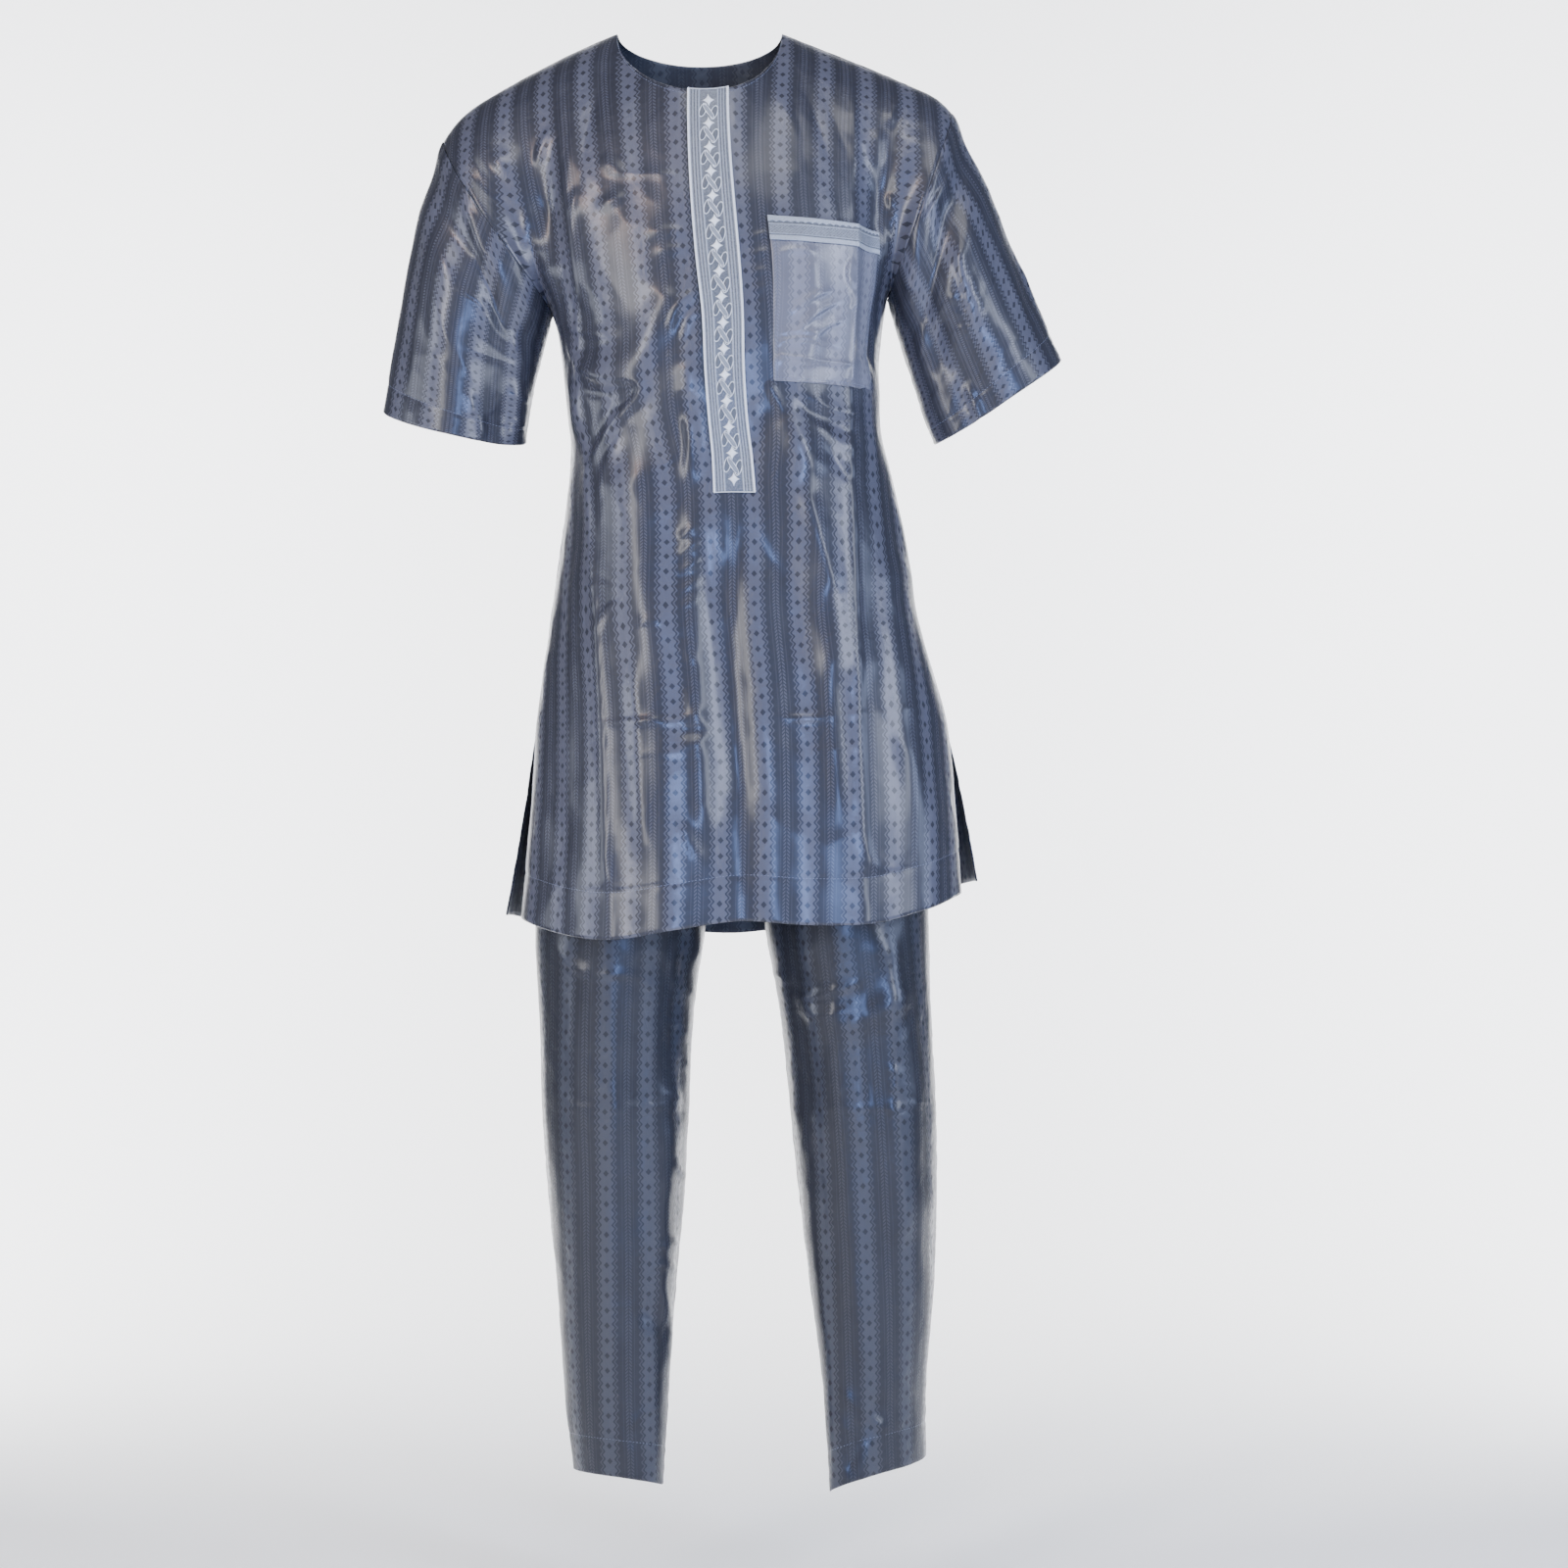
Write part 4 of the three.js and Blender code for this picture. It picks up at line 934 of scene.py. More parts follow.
# Finer folds of the tunic's front, placed on the front view
TUNIC_DETAIL = (
    # Pressed edges from packing: two long upright ones, one short one and the level ones
    crease(3.4, 2.0, ((573, 110), (577, 180), (583, 227), (594, 420), (610, 630), (620, 900)), 0),
    crease(3.4, 2.0, ((867, 90), (872, 150), (871, 253), (864, 373), (872, 630), (878, 850)), 0),
    crease(2.8, 1.2, ((747, 508), (747, 570), (745, 645)), 0.2),
    crease(2.8, 1.3, ((612, 177), (650, 177), (692, 178)), 0.2),
    crease(3.0, 1.7, ((606, 739), (660, 738), (726, 737))),
    crease(2.8, 1.2, ((606, 771), (660, 770), (723, 768))),
    crease(2.8, 1.2, ((783, 732), (870, 730), (957, 722))),
    crease(2.6, 0.9, ((826, 766), (880, 763)), 0.2),
    crease(2.8, 1.0, ((570, 598), (600, 598), (630, 599)), 0.2),
    crease(2.8, 1.1, ((678, 362), (716, 361)), 0.2),
    # Short level waves where the light breaks between the two long pressed lines
    tuck(5, 2.0, ((648, 742), (662, 738), (678, 739))),
    tuck(5, 2.0, ((694, 736), (706, 732), (720, 733))),
    tuck(5, 1.8, ((694, 766), (706, 761), (720, 763))),
    tuck(5, 1.6, ((800, 738), (822, 734), (846, 736))),
    soft(6, -1.8, ((690, 750), (706, 746), (724, 748))),
    tuck(5, 1.4, ((650, 640), (664, 636), (678, 639))),
    # Left chest: the trough beside the armhole, glints, and drag lines towards the band
    soft(13, -3.5, ((566, 150), (557, 220), (560, 300))),
    tuck(6, 2.4, ((564, 128), (552, 150), (547, 172))),
    soft(7, 1.8, ((608, 164), (626, 169), (642, 176)), 0.4),
    tuck(6, 2.0, ((594, 190), (588, 204), (584, 224)), 0.4),
    soft(6, 1.8, ((640, 194), (626, 204), (606, 214)), 0.4),
    soft(6, 1.8, ((654, 242), (678, 236), (706, 240)), 0.4),
    soft(5, 1.5, ((664, 258), (688, 254), (708, 256)), 0.4),
    tuck(4.2, 2.6, ((716, 292), (700, 302), (687, 320), (679, 346))),
    tuck(3.4, 1.7, ((716, 312), (702, 324), (693, 352))),
    soft(10, 2.6, ((698, 366), (702, 390), (700, 410))),
    soft(9, 3.0, ((706, 414), (704, 450), (705, 500)), 0.25),
    soft(4, -1.5, ((690, 420), (697, 452), (692, 480))),
    # Left waist: the winding fold and its neighbours
    tuck(
        6, 3.2,
        ((576, 334), (588, 368), (612, 386), (646, 390), (650, 402), (632, 424), (610, 458), (596, 494)),
        0.15,
    ),
    soft(6, -2.2, ((574, 356), (590, 392), (622, 406), (616, 430), (598, 466)), 0.25),
    tuck(5, 2.0, ((640, 434), (622, 468), (612, 520))),
    soft(5, 1.8, ((588, 402), (590, 430), (586, 470))),
    tuck(7, 2.0, ((560, 322), (596, 340), (640, 344))),
    # Left shoulder: the tuck that starts at the armhole seam
    tuck(5, 2.6, ((468, 152), (496, 186), (532, 214)), 0.2),
    soft(4, -2.2, ((470, 164), (500, 200), (528, 222))),
    soft(5, 2.0, ((490, 130), (504, 160), (520, 188)), 0.4),
    soft(5, 1.8, ((534, 210), (536, 250), (548, 292))),
    tuck(4, 1.6, ((524, 236), (538, 268), (552, 300))),
    # Right chest and armhole
    tuck(5, 2.6, ((922, 92), (910, 110), (906, 134))),
    tuck(4, 1.8, ((934, 112), (922, 128), (914, 150))),
    soft(8, 2.4, ((898, 128), (895, 150), (898, 178)), 0.35),
    soft(4, 2.0, ((903, 196), (908, 204), (908, 216)), 0.4),
    tuck(3.6, 1.7, ((900, 266), (912, 260), (926, 258))),
    tuck(3.6, 1.7, ((900, 282), (912, 276), (926, 276))),
    tuck(3.6, 1.6, ((902, 298), (914, 292), (926, 294))),
    soft(7, 2.0, ((896, 330), (880, 372), (884, 420))),
    soft(5, -1.8, ((892, 300), (890, 350), (894, 400))),
    # Small wrinkles between the band and the pocket
    tuck(3, 1.1, ((768, 246), (776, 240), (786, 240))),
    tuck(3, 1.1, ((768, 264), (776, 258), (786, 258))),
    tuck(3, 1.0, ((768, 282), (776, 277), (785, 276))),
    tuck(3, 1.0, ((770, 300), (778, 294), (786, 294))),
    # Below the pocket
    tuck(4, 2.2, ((781, 388), (788, 402), (800, 424)), 0.25),
    soft(12, 3.4, ((798, 412), (812, 446), (834, 492)), 0.25),
    soft(6, -2.4, ((808, 404), (838, 428), (880, 446)), 0.25),
    tuck(5, 2.2, ((818, 400), (846, 418), (884, 428))),
    tuck(5, 1.8, ((830, 430), (852, 452), (876, 466))),
    soft(5, -1.8, ((840, 452), (858, 480), (876, 500))),
    # Skirt: the light ridge with its short wrinkles, the trough beside it, and the right ridge
    soft(12, 4.0, ((704, 505), (709, 600), (714, 720), (720, 860)), 0.1),
    tuck(3.6, 1.6, ((690, 550), (700, 546), (716, 536))),
    tuck(3.6, 1.7, ((690, 568), (702, 562), (716, 552))),
    tuck(3.6, 1.7, ((691, 586), (703, 580), (718, 570))),
    tuck(3.6, 1.5, ((693, 604), (705, 598), (718, 590))),
    tuck(3.6, 1.3, ((695, 622), (706, 615), (716, 608))),
    tuck(5, 1.6, ((694, 652), (700, 668), (712, 680))),
    tuck(5, 1.4, ((700, 700), (704, 722), (716, 734))),
    tuck(5, 1.6, ((696, 836), (704, 862), (718, 884))),
    soft(14, -3.6, ((750, 510), (748, 640), (754, 760), (762, 850)), 0.15),
    soft(8, 3.4, ((818, 494), (834, 548), (852, 612)), 0.2),
    tuck(4, 1.6, ((636, 612), (618, 626), (608, 652))),
    soft(9, 2.4, ((842, 640), (850, 740), (858, 850)), 0.25),
    soft(9, 2.0, ((896, 560), (914, 700), (930, 850)), 0.2),
    soft(9, -2.0, ((918, 560), (938, 700), (950, 840)), 0.2),
    soft(8, 2.0, ((648, 660), (652, 760), (660, 880)), 0.2),
    soft(9, 2.0, ((588, 540), (578, 700), (574, 860)), 0.2),
    soft(8, 1.8, ((560, 640), (552, 760), (548, 880)), 0.2),
    soft(4, 2.0, ((879, 850), (884, 872), (894, 892))),
)

# Finer folds of the tunic's back, as x and z in the view from the back's own side
TUNIC_BACK_DETAIL = (
    crease(3.0, 1.3, ((-122, -70), (-127, -290), (-112, -480), (-96, -700), (-88, -925)), 0),
    crease(3.0, 1.3, ((150, -70), (148, -367), (153, -560), (160, -720), (168, -925)), 0),
    crease(2.4, 0.8, ((24, -60), (28, -400), (36, -915)), 0.1),
    crease(2.4, 0.8, ((-130, -150), (0, -152), (140, -148))),
    crease(2.4, 0.8, ((-120, -330), (40, -334), (170, -330))),
    crease(2.4, 0.8, ((-140, -560), (30, -566), (200, -560))),
    crease(2.4, 0.8, ((-160, -726), (30, -732), (230, -722))),
    tuck(8, 2.8, ((-176, -150), (-150, -200), (-120, -262)), 0.25),
    tuck(7, 2.4, ((-160, -236), (-128, -262), (-80, -276))),
    soft(7, -2.2, ((-150, -262), (-116, -290), (-70, -308))),
    tuck(8, 2.8, ((204, -140), (184, -200), (158, -258)), 0.25),
    tuck(7, 2.4, ((188, -232), (158, -258), (112, -270))),
    soft(7, -2.2, ((180, -262), (150, -290), (106, -304))),
    tuck(6, 3.0, ((-126, -392), (-92, -420), (-44, -424), (-52, -446), (-84, -486)), 0.2),
    tuck(6, 3.0, ((178, -390), (140, -424), (92, -430), (104, -452), (132, -498)), 0.2),
    soft(7, -2.4, ((-120, -430), (-80, -452), (-96, -500))),
    soft(7, -2.4, ((174, -436), (132, -460), (148, -512))),
    tuck(8, 2.6, ((-10, -410), (18, -438), (64, -434))),
    soft(10, 3.0, ((4, -470), (-2, -600), (-8, -740), (-14, -880)), 0.15),
    tuck(4, 1.6, ((-12, -520), (0, -512), (14, -504))),
    tuck(4, 1.6, ((-14, -540), (-2, -531), (12, -522))),
    tuck(4, 1.5, ((-14, -560), (-2, -551), (10, -542))),
    soft(10, 2.8, ((64, -500), (66, -640), (70, -860)), 0.15),
    soft(9, -2.2, ((122, -520), (130, -680), (138, -860)), 0.15),
    soft(9, 2.2, ((-78, -560), (-74, -700), (-66, -880)), 0.15),
    soft(7, 1.8, ((196, -560), (208, -700), (222, -840)), 0.2),
    tuck(5, 1.6, ((-40, -640), (-52, -656), (-60, -684))),
    tuck(5, 1.6, ((108, -610), (120, -628), (124, -660))),
    tuck(10, 2.4, ((-70, -36), (-40, -78), (0, -92))),
    tuck(10, 2.4, ((76, -34), (52, -76), (16, -92))),
)

# Folds of the chest pocket itself, placed on the front view
POCKET_FOLDS = (
    crease(2.6, 1.9, ((871, 216), (870, 300), (863, 394)), 0),
    crease(2.8, 1.9, ((784, 362), (824, 367), (866, 373)), 0.1),
    tuck(4, 1.4, ((812, 342), (830, 322), (858, 306)), 0.25),
    tuck(4, 1.3, ((806, 324), (826, 306), (850, 296))),
    tuck(4, 1.2, ((826, 350), (842, 334), (862, 326))),
    tuck(3.6, 1.3, ((788, 352), (818, 347), (856, 356)), 0.2),
    tuck(3.6, 1.0, ((790, 342), (812, 339), (840, 342))),
    soft(4, 1.0, ((790, 262), (810, 256), (836, 258))),
    tuck(4, 1.1, ((866, 262), (862, 280), (866, 300))),
    tuck(3.4, 1.0, ((862, 296), (868, 306), (864, 318))),
    soft(10, 1.6, ((826, 250), (830, 300), (824, 380)), 0.2),
)


@dataclass(frozen=True)
class SleeveCut:
    """One sleeve: the hem's ends and depth, and the ways that the cloth runs, in mm."""

    inner: tuple[float, float]
    outer: tuple[float, float]
    half_depth: float
    tilt: float
    under_start: tuple[float, float]
    under_end: tuple[float, float]
    over_start: tuple[float, float]
    over_end: tuple[float, float]
    folds: tuple[Fold, ...]
    back_detail: tuple[Fold, ...]


# Main folds and the finer ones of a sleeve's back are placed by the way round from the underarm, in mm
# of a 400 mm round, and the way down in mm of a 290 mm length
SLEEVES = {
    Side.LEFT: SleeveCut(
        (-178, -414), (-324, -381), 48, 13, (-0.27, -0.96), (-0.09, -1), (-0.36, -0.93), (-0.18, -0.98),
        (
            Fold(26, -7, ((168, 23), (108, 64), (56, 93))),
            Fold(26, 6, ((132, 99), (112, 203), (104, 290))),
            Fold(26, -6, ((68, 145), (56, 218), (48, 290))),
            Fold(26, -6, ((240, 29), (300, 64), (344, 93))),
            Fold(28, 6, ((288, 116), (296, 203), (300, 290))),
        ),
        (
            tuck(7, 2.6, ((228, 22), (270, 48), (318, 82)), 0.25),
            tuck(6, 2.2, ((262, 20), (300, 52), (352, 78)), 0.25),
            tuck(5, 1.8, ((344, 60), (366, 96), (372, 140))),
            soft(8, 2.4, ((296, 110), (306, 180), (300, 260)), 0.25),
            tuck(4, 1.4, ((300, 130), (316, 138), (326, 152))),
            tuck(4, 1.4, ((298, 150), (314, 158), (326, 172))),
            crease(2.4, 0.7, ((220, 190), (300, 196), (380, 188))),
        ),
    ),
    Side.RIGHT: SleeveCut(
        (238, -415), (368, -329), 50, 8, (0.29, -0.96), (0.38, -0.93), (0.43, -0.9), (0.42, -0.91),
        (
            Fold(26, -7, ((168, 26), (112, 64), (60, 96))),
            Fold(28, 7, ((120, 99), (124, 174), (132, 290))),
            Fold(28, -7, ((68, 145), (72, 203), (76, 290))),
            Fold(26, -6, ((240, 29), (296, 64), (344, 93))),
            Fold(28, 6, ((280, 116), (284, 203), (288, 290))),
        ),
        (
            tuck(7, 2.6, ((230, 24), (268, 52), (320, 84)), 0.25),
            tuck(6, 2.2, ((260, 18), (304, 50), (350, 80)), 0.25),
            tuck(5, 1.8, ((340, 62), (362, 100), (370, 146))),
            soft(8, 2.4, ((288, 112), (282, 180), (290, 262)), 0.25),
            tuck(4, 1.4, ((276, 140), (292, 148), (300, 164))),
            tuck(4, 1.4, ((274, 160), (290, 170), (298, 186))),
            crease(2.4, 0.7, ((226, 186), (300, 190), (378, 184))),
        ),
    ),
}

# Finer folds of the sleeves' fronts, placed on the front view
SLEEVE_DETAIL = {
    Side.LEFT: (
        tuck(3, 1.3, ((464, 294), (482, 304), (500, 319)), 0.25),
        crease(2.4, 0.9, ((474, 355), (512, 368), (549, 384)), 0.12),
        soft(4.5, 2.0, ((477, 396), (482, 412), (484, 430)), 0.35),
        soft(4.5, 2.0, ((489, 418), (492, 434), (493, 452)), 0.35),
        soft(9, 2.6, ((531, 384), (529, 420), (524, 456)), 0.25),
        tuck(4, 1.4, ((520, 398), (530, 408), (542, 410))),
        tuck(4, 1.2, ((524, 426), (532, 434), (541, 436))),
        tuck(7, 2.4, ((470, 196), (484, 240), (508, 300), (522, 340)), 0.2),
        soft(8, -2.2, ((486, 250), (500, 296), (520, 350)), 0.25),
        soft(6, 1.6, ((440, 230), (428, 310), (418, 410)), 0.25),
        soft(5, 1.4, ((528, 318), (530, 340), (524, 366))),
    ),
    Side.RIGHT: (
        soft(4, -2.0, ((960, 144), (946, 176), (918, 220)), 0.15),
        tuck(4, 2.2, ((966, 152), (952, 184), (922, 230)), 0.15),
        tuck(4, 1.8, ((972, 170), (960, 196), (940, 226)), 0.25),
        soft(13, -3.6, ((962, 190), (964, 250), (948, 320), (962, 400)), 0.15),
        tuck(5, 3.2, ((976, 246), (977, 270), (984, 302), (996, 340)), 0.2),
        soft(4, 2.0, ((986, 276), (992, 302), (1002, 326))),
        tuck(3.4, 1.6, ((966, 302), (976, 308), (990, 308))),
        tuck(3.4, 1.6, ((964, 316), (976, 322), (992, 322))),
        tuck(3.4, 1.4, ((974, 334), (984, 338), (998, 336))),
        soft(6, 3.0, ((984, 388), (992, 408), (1002, 436))),
        soft(6, 1.8, ((1000, 190), (1022, 260), (1048, 340)), 0.25),
        soft(6, -1.6, ((1020, 200), (1040, 266), (1064, 336)), 0.25),
        soft(5, 1.6, ((924, 300), (934, 330), (940, 372))),
        tuck(4, 1.4, ((916, 286), (928, 292), (940, 306))),
    ),
}


@dataclass
class Tunic:
    """The tunic: two panels, two sleeves, the ornamental band and the chest pocket."""

    cloth: float = 1.0
    hem: float = 1.9
    hem_depth: float = 44.0
    sleeve_hem_depth: float = 26.0
    squareness: float = 2.4
    vent_top: float = -706.0
    vent_foot: float = -900.0
    armpit_left: float = -283.0
    armpit_right: float = -268.0
    neck_share: float = 0.5
    neck_x: float = -1.0
    neck_half: float = 84.0
    neck_lean: float = 6.0
    point_y: float = -2.0
    point_z: float = 3.0
    tip_y: float = -12.0
    under_length: float = 135.0
    over_length: float = 270.0
    # Lengths that the finer relief is measured by: hem to armpit, armpit to top, half across a panel
    # (for its seams and for the lie of the cloth), round a sleeve, down a sleeve, and down its front
    lower_length: float = 620.0
    upper_length: float = 230.0
    half_width: float = 240.0
    lie_width: float = 260.0
    sleeve_round: float = 400.0
    sleeve_length: float = 290.0
    sleeve_front: float = 245.0
    band_edges: tuple[float, float] = (-0.0575, 0.0955)
    band_foot: float = -475.0
    pocket_edges: tuple[float, float] = (0.21, 0.7)
    # Height of the pocket's bottom, of the trim's lower edge and of the top, at the two sides
    pocket_bottom: tuple[float, float] = (-366.0, -369.0)
    trim_foot: tuple[float, float] = (-227.0, -232.0)
    pocket_top: tuple[float, float] = (-203.0, -211.0)
    # The slit's edges are turned under the band by this much each
    slit_turn: float = 8.0

    # z, left, right, front, back
    torso: tuple = (
        (-262, -158, 191, 117, 114),
        (-300, -145, 185, 119, 113),
        (-356, -137, 181, 118, 107),
        (-404, -132, 183, 114, 102),
        (-442, -133, 192, 113, 101),
        (-514, -142, 208, 116, 107),
        (-586, -152, 218, 122, 118),
        (-658, -161, 239, 130, 127),
        (-706, -167, 251, 136, 132),
        (-800, -172, 259, 145, 140),
        (-930, -182, 265, 153, 149),
    )
    # Share across, z
    front_hem: tuple = (
        (-1, -896), (-0.8, -908), (-0.55, -913), (-0.25, -902), (0, -894),
        (0.3, -898), (0.58, -897), (0.82, -884), (1, -871),
    )
    back_hem: tuple = (
        (-1, -896), (-0.9, -903), (-0.5, -913), (-0.1, -920),
        (0.2, -914), (0.55, -898), (0.9, -869), (1, -861),
    )
    # Share along the shoulder seam, x, z
    left_shoulder: tuple = (
        (0, -85, 3), (0.25, -131, -18), (0.5, -175, -41),
        (0.75, -222, -68), (0.88, -245, -86), (1, -262, -109),
    )
    right_shoulder: tuple = (
        (0, 83, 3), (0.25, 131, -17), (0.5, 175, -35),
        (0.75, 217, -53), (0.88, 239, -64), (1, 257, -80),
    )

    # The band's middle line: shares of the height, and the share of its length at each
    band_shares: Array = field(init=False)
    band_lengths: Array = field(init=False)

    def __post_init__(self) -> None:
        """Measures the band's middle line."""
        middle = sum(self.band_edges) / 2
        foot = float(self.share_at(np.array(middle), np.array(self.band_foot)))
        self.band_shares = np.linspace(foot, 2.004, 241)
        path = self.plain(Face.FRONT, np.full_like(self.band_shares, middle), self.band_shares)
        length = length_along(path)
        self.band_lengths = length / length[-1]

    def section(self, s: Array) -> tuple[Array, Array]:
        """Rounded half section, a superellipse, from the left seam (-1) to the right seam (1)."""
        across, ahead = np.sin(s * math.pi / 2), np.cos(s * math.pi / 2)
        power = self.squareness
        size = (np.abs(across) ** power + np.abs(ahead) ** power) ** (-1 / power)
        return across * size, ahead * size

    def body(self, face: Face, s: Array, z: Array) -> Array:
        """Points of the body below the armpits: the section stretched to the table's four sizes. Below
        the side seams the edges of each panel swing out and away from each other."""
        row = through(self.torso, z)
        across, ahead = self.section(s)
        spread, away = ((2, 2), 20) if face is Face.FRONT else ((22, 27), 22)
        parted = np.maximum(0, (self.vent_top - z) / (self.vent_top - self.vent_foot))
        left, right = row[..., 0] - spread[0] * parted, row[..., 1] + spread[1] * parted
        depth = row[..., 2 if face is Face.FRONT else 3]
        y = face.value * (depth * ahead + away * parted * (1 - ahead))
        return stack(mix(left, right, (across + 1) / 2), y, z)

    def top(self, face: Face, s: Array) -> Array:
        """Where a panel ends at the top: an arc for the neckline, then the shoulder seams."""
        drop, reach = (76, 78) if face is Face.FRONT else (18, 66)
        lean = self.neck_lean if face is Face.FRONT else 0
        angle = np.clip(s / self.neck_share, -1, 1) * math.pi / 2
        neck = stack(
            self.neck_x + self.neck_half * np.sin(angle) + lean * np.cos(angle) ** 2,
            self.point_y + face.value * reach * np.cos(angle),
            self.point_z - drop * np.cos(angle),
        )
        f = np.maximum(0, (np.abs(s) - self.neck_share) / (1 - self.neck_share))
        sides = np.where(s[..., None] < 0, through(self.left_shoulder, f), through(self.right_shoulder, f))
        shoulder = stack(sides[..., 0], mix(self.point_y, self.tip_y, f), sides[..., 1])
        return np.where(np.abs(s)[..., None] <= self.neck_share, neck, shoulder)

    def plain(self, face: Face, s: Array, h: Array) -> Array:
        """The cloth without folds. The share h runs from the hem (0) past the armpit (1) to the top (2),
        the lower half on the body and the upper half on cubic curves to the neckline and shoulders."""
        s, h = np.broadcast_arrays(np.asarray(s, float), np.asarray(h, float))
        armpit = mix(self.armpit_left, self.armpit_right, (s + 1) / 2)
        hems = self.front_hem if face is Face.FRONT else self.back_hem
        hem = through(hems, self.section(s)[0])[..., 0]
        lower = self.body(face, s, mix(hem, armpit, np.minimum(h, 1)))
        low, below = self.body(face, s, armpit), self.body(face, s, armpit - 1)
        # Below the top edge the corner at the neck point is rounded, more so lower down
        spread = 0.16 * np.clip(2 - h, 0, 1) ** 0.7 * (1 - np.abs(s) ** 4)
        high = (self.top(face, s - spread) + 2 * self.top(face, s) + self.top(face, s + spread)) / 4
        side = np.sign(s)
        edge = (np.abs(s) ** 6)[..., None]
        rise = ((high[..., 2] - low[..., 2]) / 3)[..., None]
        upright = low + (low - below) * rise
        rounded = low + stack(side * 4, face.value * 92, 14)
        if face is Face.FRONT:
            neck, shoulder, tip = (0, -24, -62), (0, -60, -31), (-10, -78, -48)
        else:
            neck, shoulder, tip = (0, 24, -48), (0, 54, 20), (-8, 80, -12)
        onto = smooth((np.abs(s) - 0.15) / 0.425)[..., None]
        handle = mix(np.array(neck, float), np.array(shoulder, float), onto)
        handle = mix(handle, np.array(tip, float), edge) * stack(side, 1, 1)
        upper = bezier(low, mix(upright, rounded, edge), high + handle, high, h - 1)
        return np.where((h <= 1)[..., None], lower, upper)

    def share_at(self, s: Array, z: Array) -> Array:
        """The share of the height at which the front has height z, found by halving."""
        low, high = np.zeros_like(z), np.full_like(z, 2)
        for _ in range(26):
            middle = (low + high) / 2
            under = self.plain(Face.FRONT, s, middle)[..., 2] < z
            low, high = np.where(under, middle, low), np.where(under, high, middle)
        return (low + high) / 2

    def sewn_over(self, s: Array, z: Array) -> Array:
        """How far the front is held flat by the band (1 under it) or the pocket (0.85 under it)."""
        inset = 0.012
        left, right = self.band_edges
        band = smooth((s - left + inset) / (2 * inset)) * smooth((right + inset - s) / (2 * inset))
        band = band * smooth((z - self.band_foot + 5) / 8)
        left, right = self.pocket_edges
        across = np.clip((s - left) / (right - left), 0, 1)
        top, bottom = mix(*self.pocket_top, across), mix(*self.pocket_bottom, across)
        pocket = smooth((s - left + inset) / (2 * inset)) * smooth((right + inset - s) / (2 * inset))
        pocket = pocket * smooth((z - bottom + 3) / 8) * smooth((top + 4 - z) / 8)
        return np.maximum(band, pocket)

    def main_folds(self, face: Face, s: Array, h: Array) -> tuple[Array, Array, Array]:
        """The plain points, their normals, and the height of the main folds on them."""
        points, normals = facing(lambda a, b: self.plain(face, a, b), s, h, -face.value)
        held = (1 - np.abs(s) ** 12) * (1 - np.clip(h - 1, 0, 1) ** 10)
        return points, normals, held * fold_height(TUNIC_FOLDS[face], points[..., 0], points[..., 2])

    def detail(self, face: Face, s: Array, h: Array, points: Array) -> Array:
        """Height of the finer folds: the placed ones, an uneven lie of the cloth, puckers along the
        seams and the line where each hem is sewn down."""
        x, z = points[..., 0], points[..., 2]
        if face is Face.FRONT:
            height = fold_height(TUNIC_DETAIL, *VIEW.place(points))
        else:
            height = fold_height(TUNIC_BACK_DETAIL, x, z)
        seed = 10 if face is Face.FRONT else 20
        height = height + PANEL_LIE.height(s * self.lie_width, z, seed)
        height = height * (1 - 0.9 * np.abs(s) ** 10) * (1 - 0.85 * np.clip(h - 1, 0, 1) ** 8)
        to_side = self.half_width * (1 - np.abs(s))
        height = height + 0.5 * np.exp(-to_side / 9) * uneven(z, s * 40, 9, seed + 2)
        above = h * self.lower_length - self.hem_depth
        height = height + sewn_line(above, 0.7, 0.4, uneven(x, z * 0.3, 8, seed + 3))
        to_top = (2 - h) * self.upper_length
        height = height + 0.35 * np.exp(-to_top / 8) * uneven(x, z * 0.2, 8, seed + 4)
        height = height - 0.7 * np.exp(-to_top / 2.4) * smooth((np.abs(s) - self.neck_share) * 12)
        height = height - 0.8 * np.exp(-to_side / 2) * smooth((h - 1) * 8)
        if face is Face.FRONT:
            height = height * (1 - 0.97 * self.sewn_over(s, z))
        return height

    def folded(self, face: Face, s: Array, h: Array) -> Array:
        """The cloth with all its folds, moved out along the plain cloth's normals."""
        s, h = np.broadcast_arrays(np.asarray(s, float), np.asarray(h, float))
        points, normals, height = self.main_folds(face, s, h)
        return points + normals * (height + self.detail(face, s, h, points))[..., None]

    def panel(self, face: Face, rows: tuple[int, int], columns: int) -> tuple[Array, Array, Array, Array]:
        """A panel's grid.

        Args:
            face: which panel.
            rows: cells below and above the armpits.
            columns: cells from side to side.

        Returns:
            Points, normals, flat places and the rows' shares of the height.
        """
        edge = 1 - 0.5 / self.half_width
        s = np.linspace(-edge, edge, columns + 1)[None, :]
        lower, upper = np.linspace(0, 1, rows[0] + 1), np.linspace(1, 1.998, rows[1] + 1)
        h = np.concatenate([lower, upper[1:]])[:, None]
        points = self.folded(face, s, h)
        normals = normals_of(points, -face.value)
        # The threads are followed on the cloth without its folds, which don't turn them
        bare, out = facing(lambda a, b: self.plain(face, a, b), s, h, -face.value)
        middle = columns // 2
        lean = np.gradient(bare[:, middle, 0]) / np.gradient(bare[:, middle, 2])
        over = 1.2 * smooth(h - 1)
        grain = stack(lean[:, None] * np.ones_like(s), -face.value * over * np.ones_like(s), 1.0)
        places = cloth_coordinates(bare, out, grain, middle)
        return points, normals, places, h

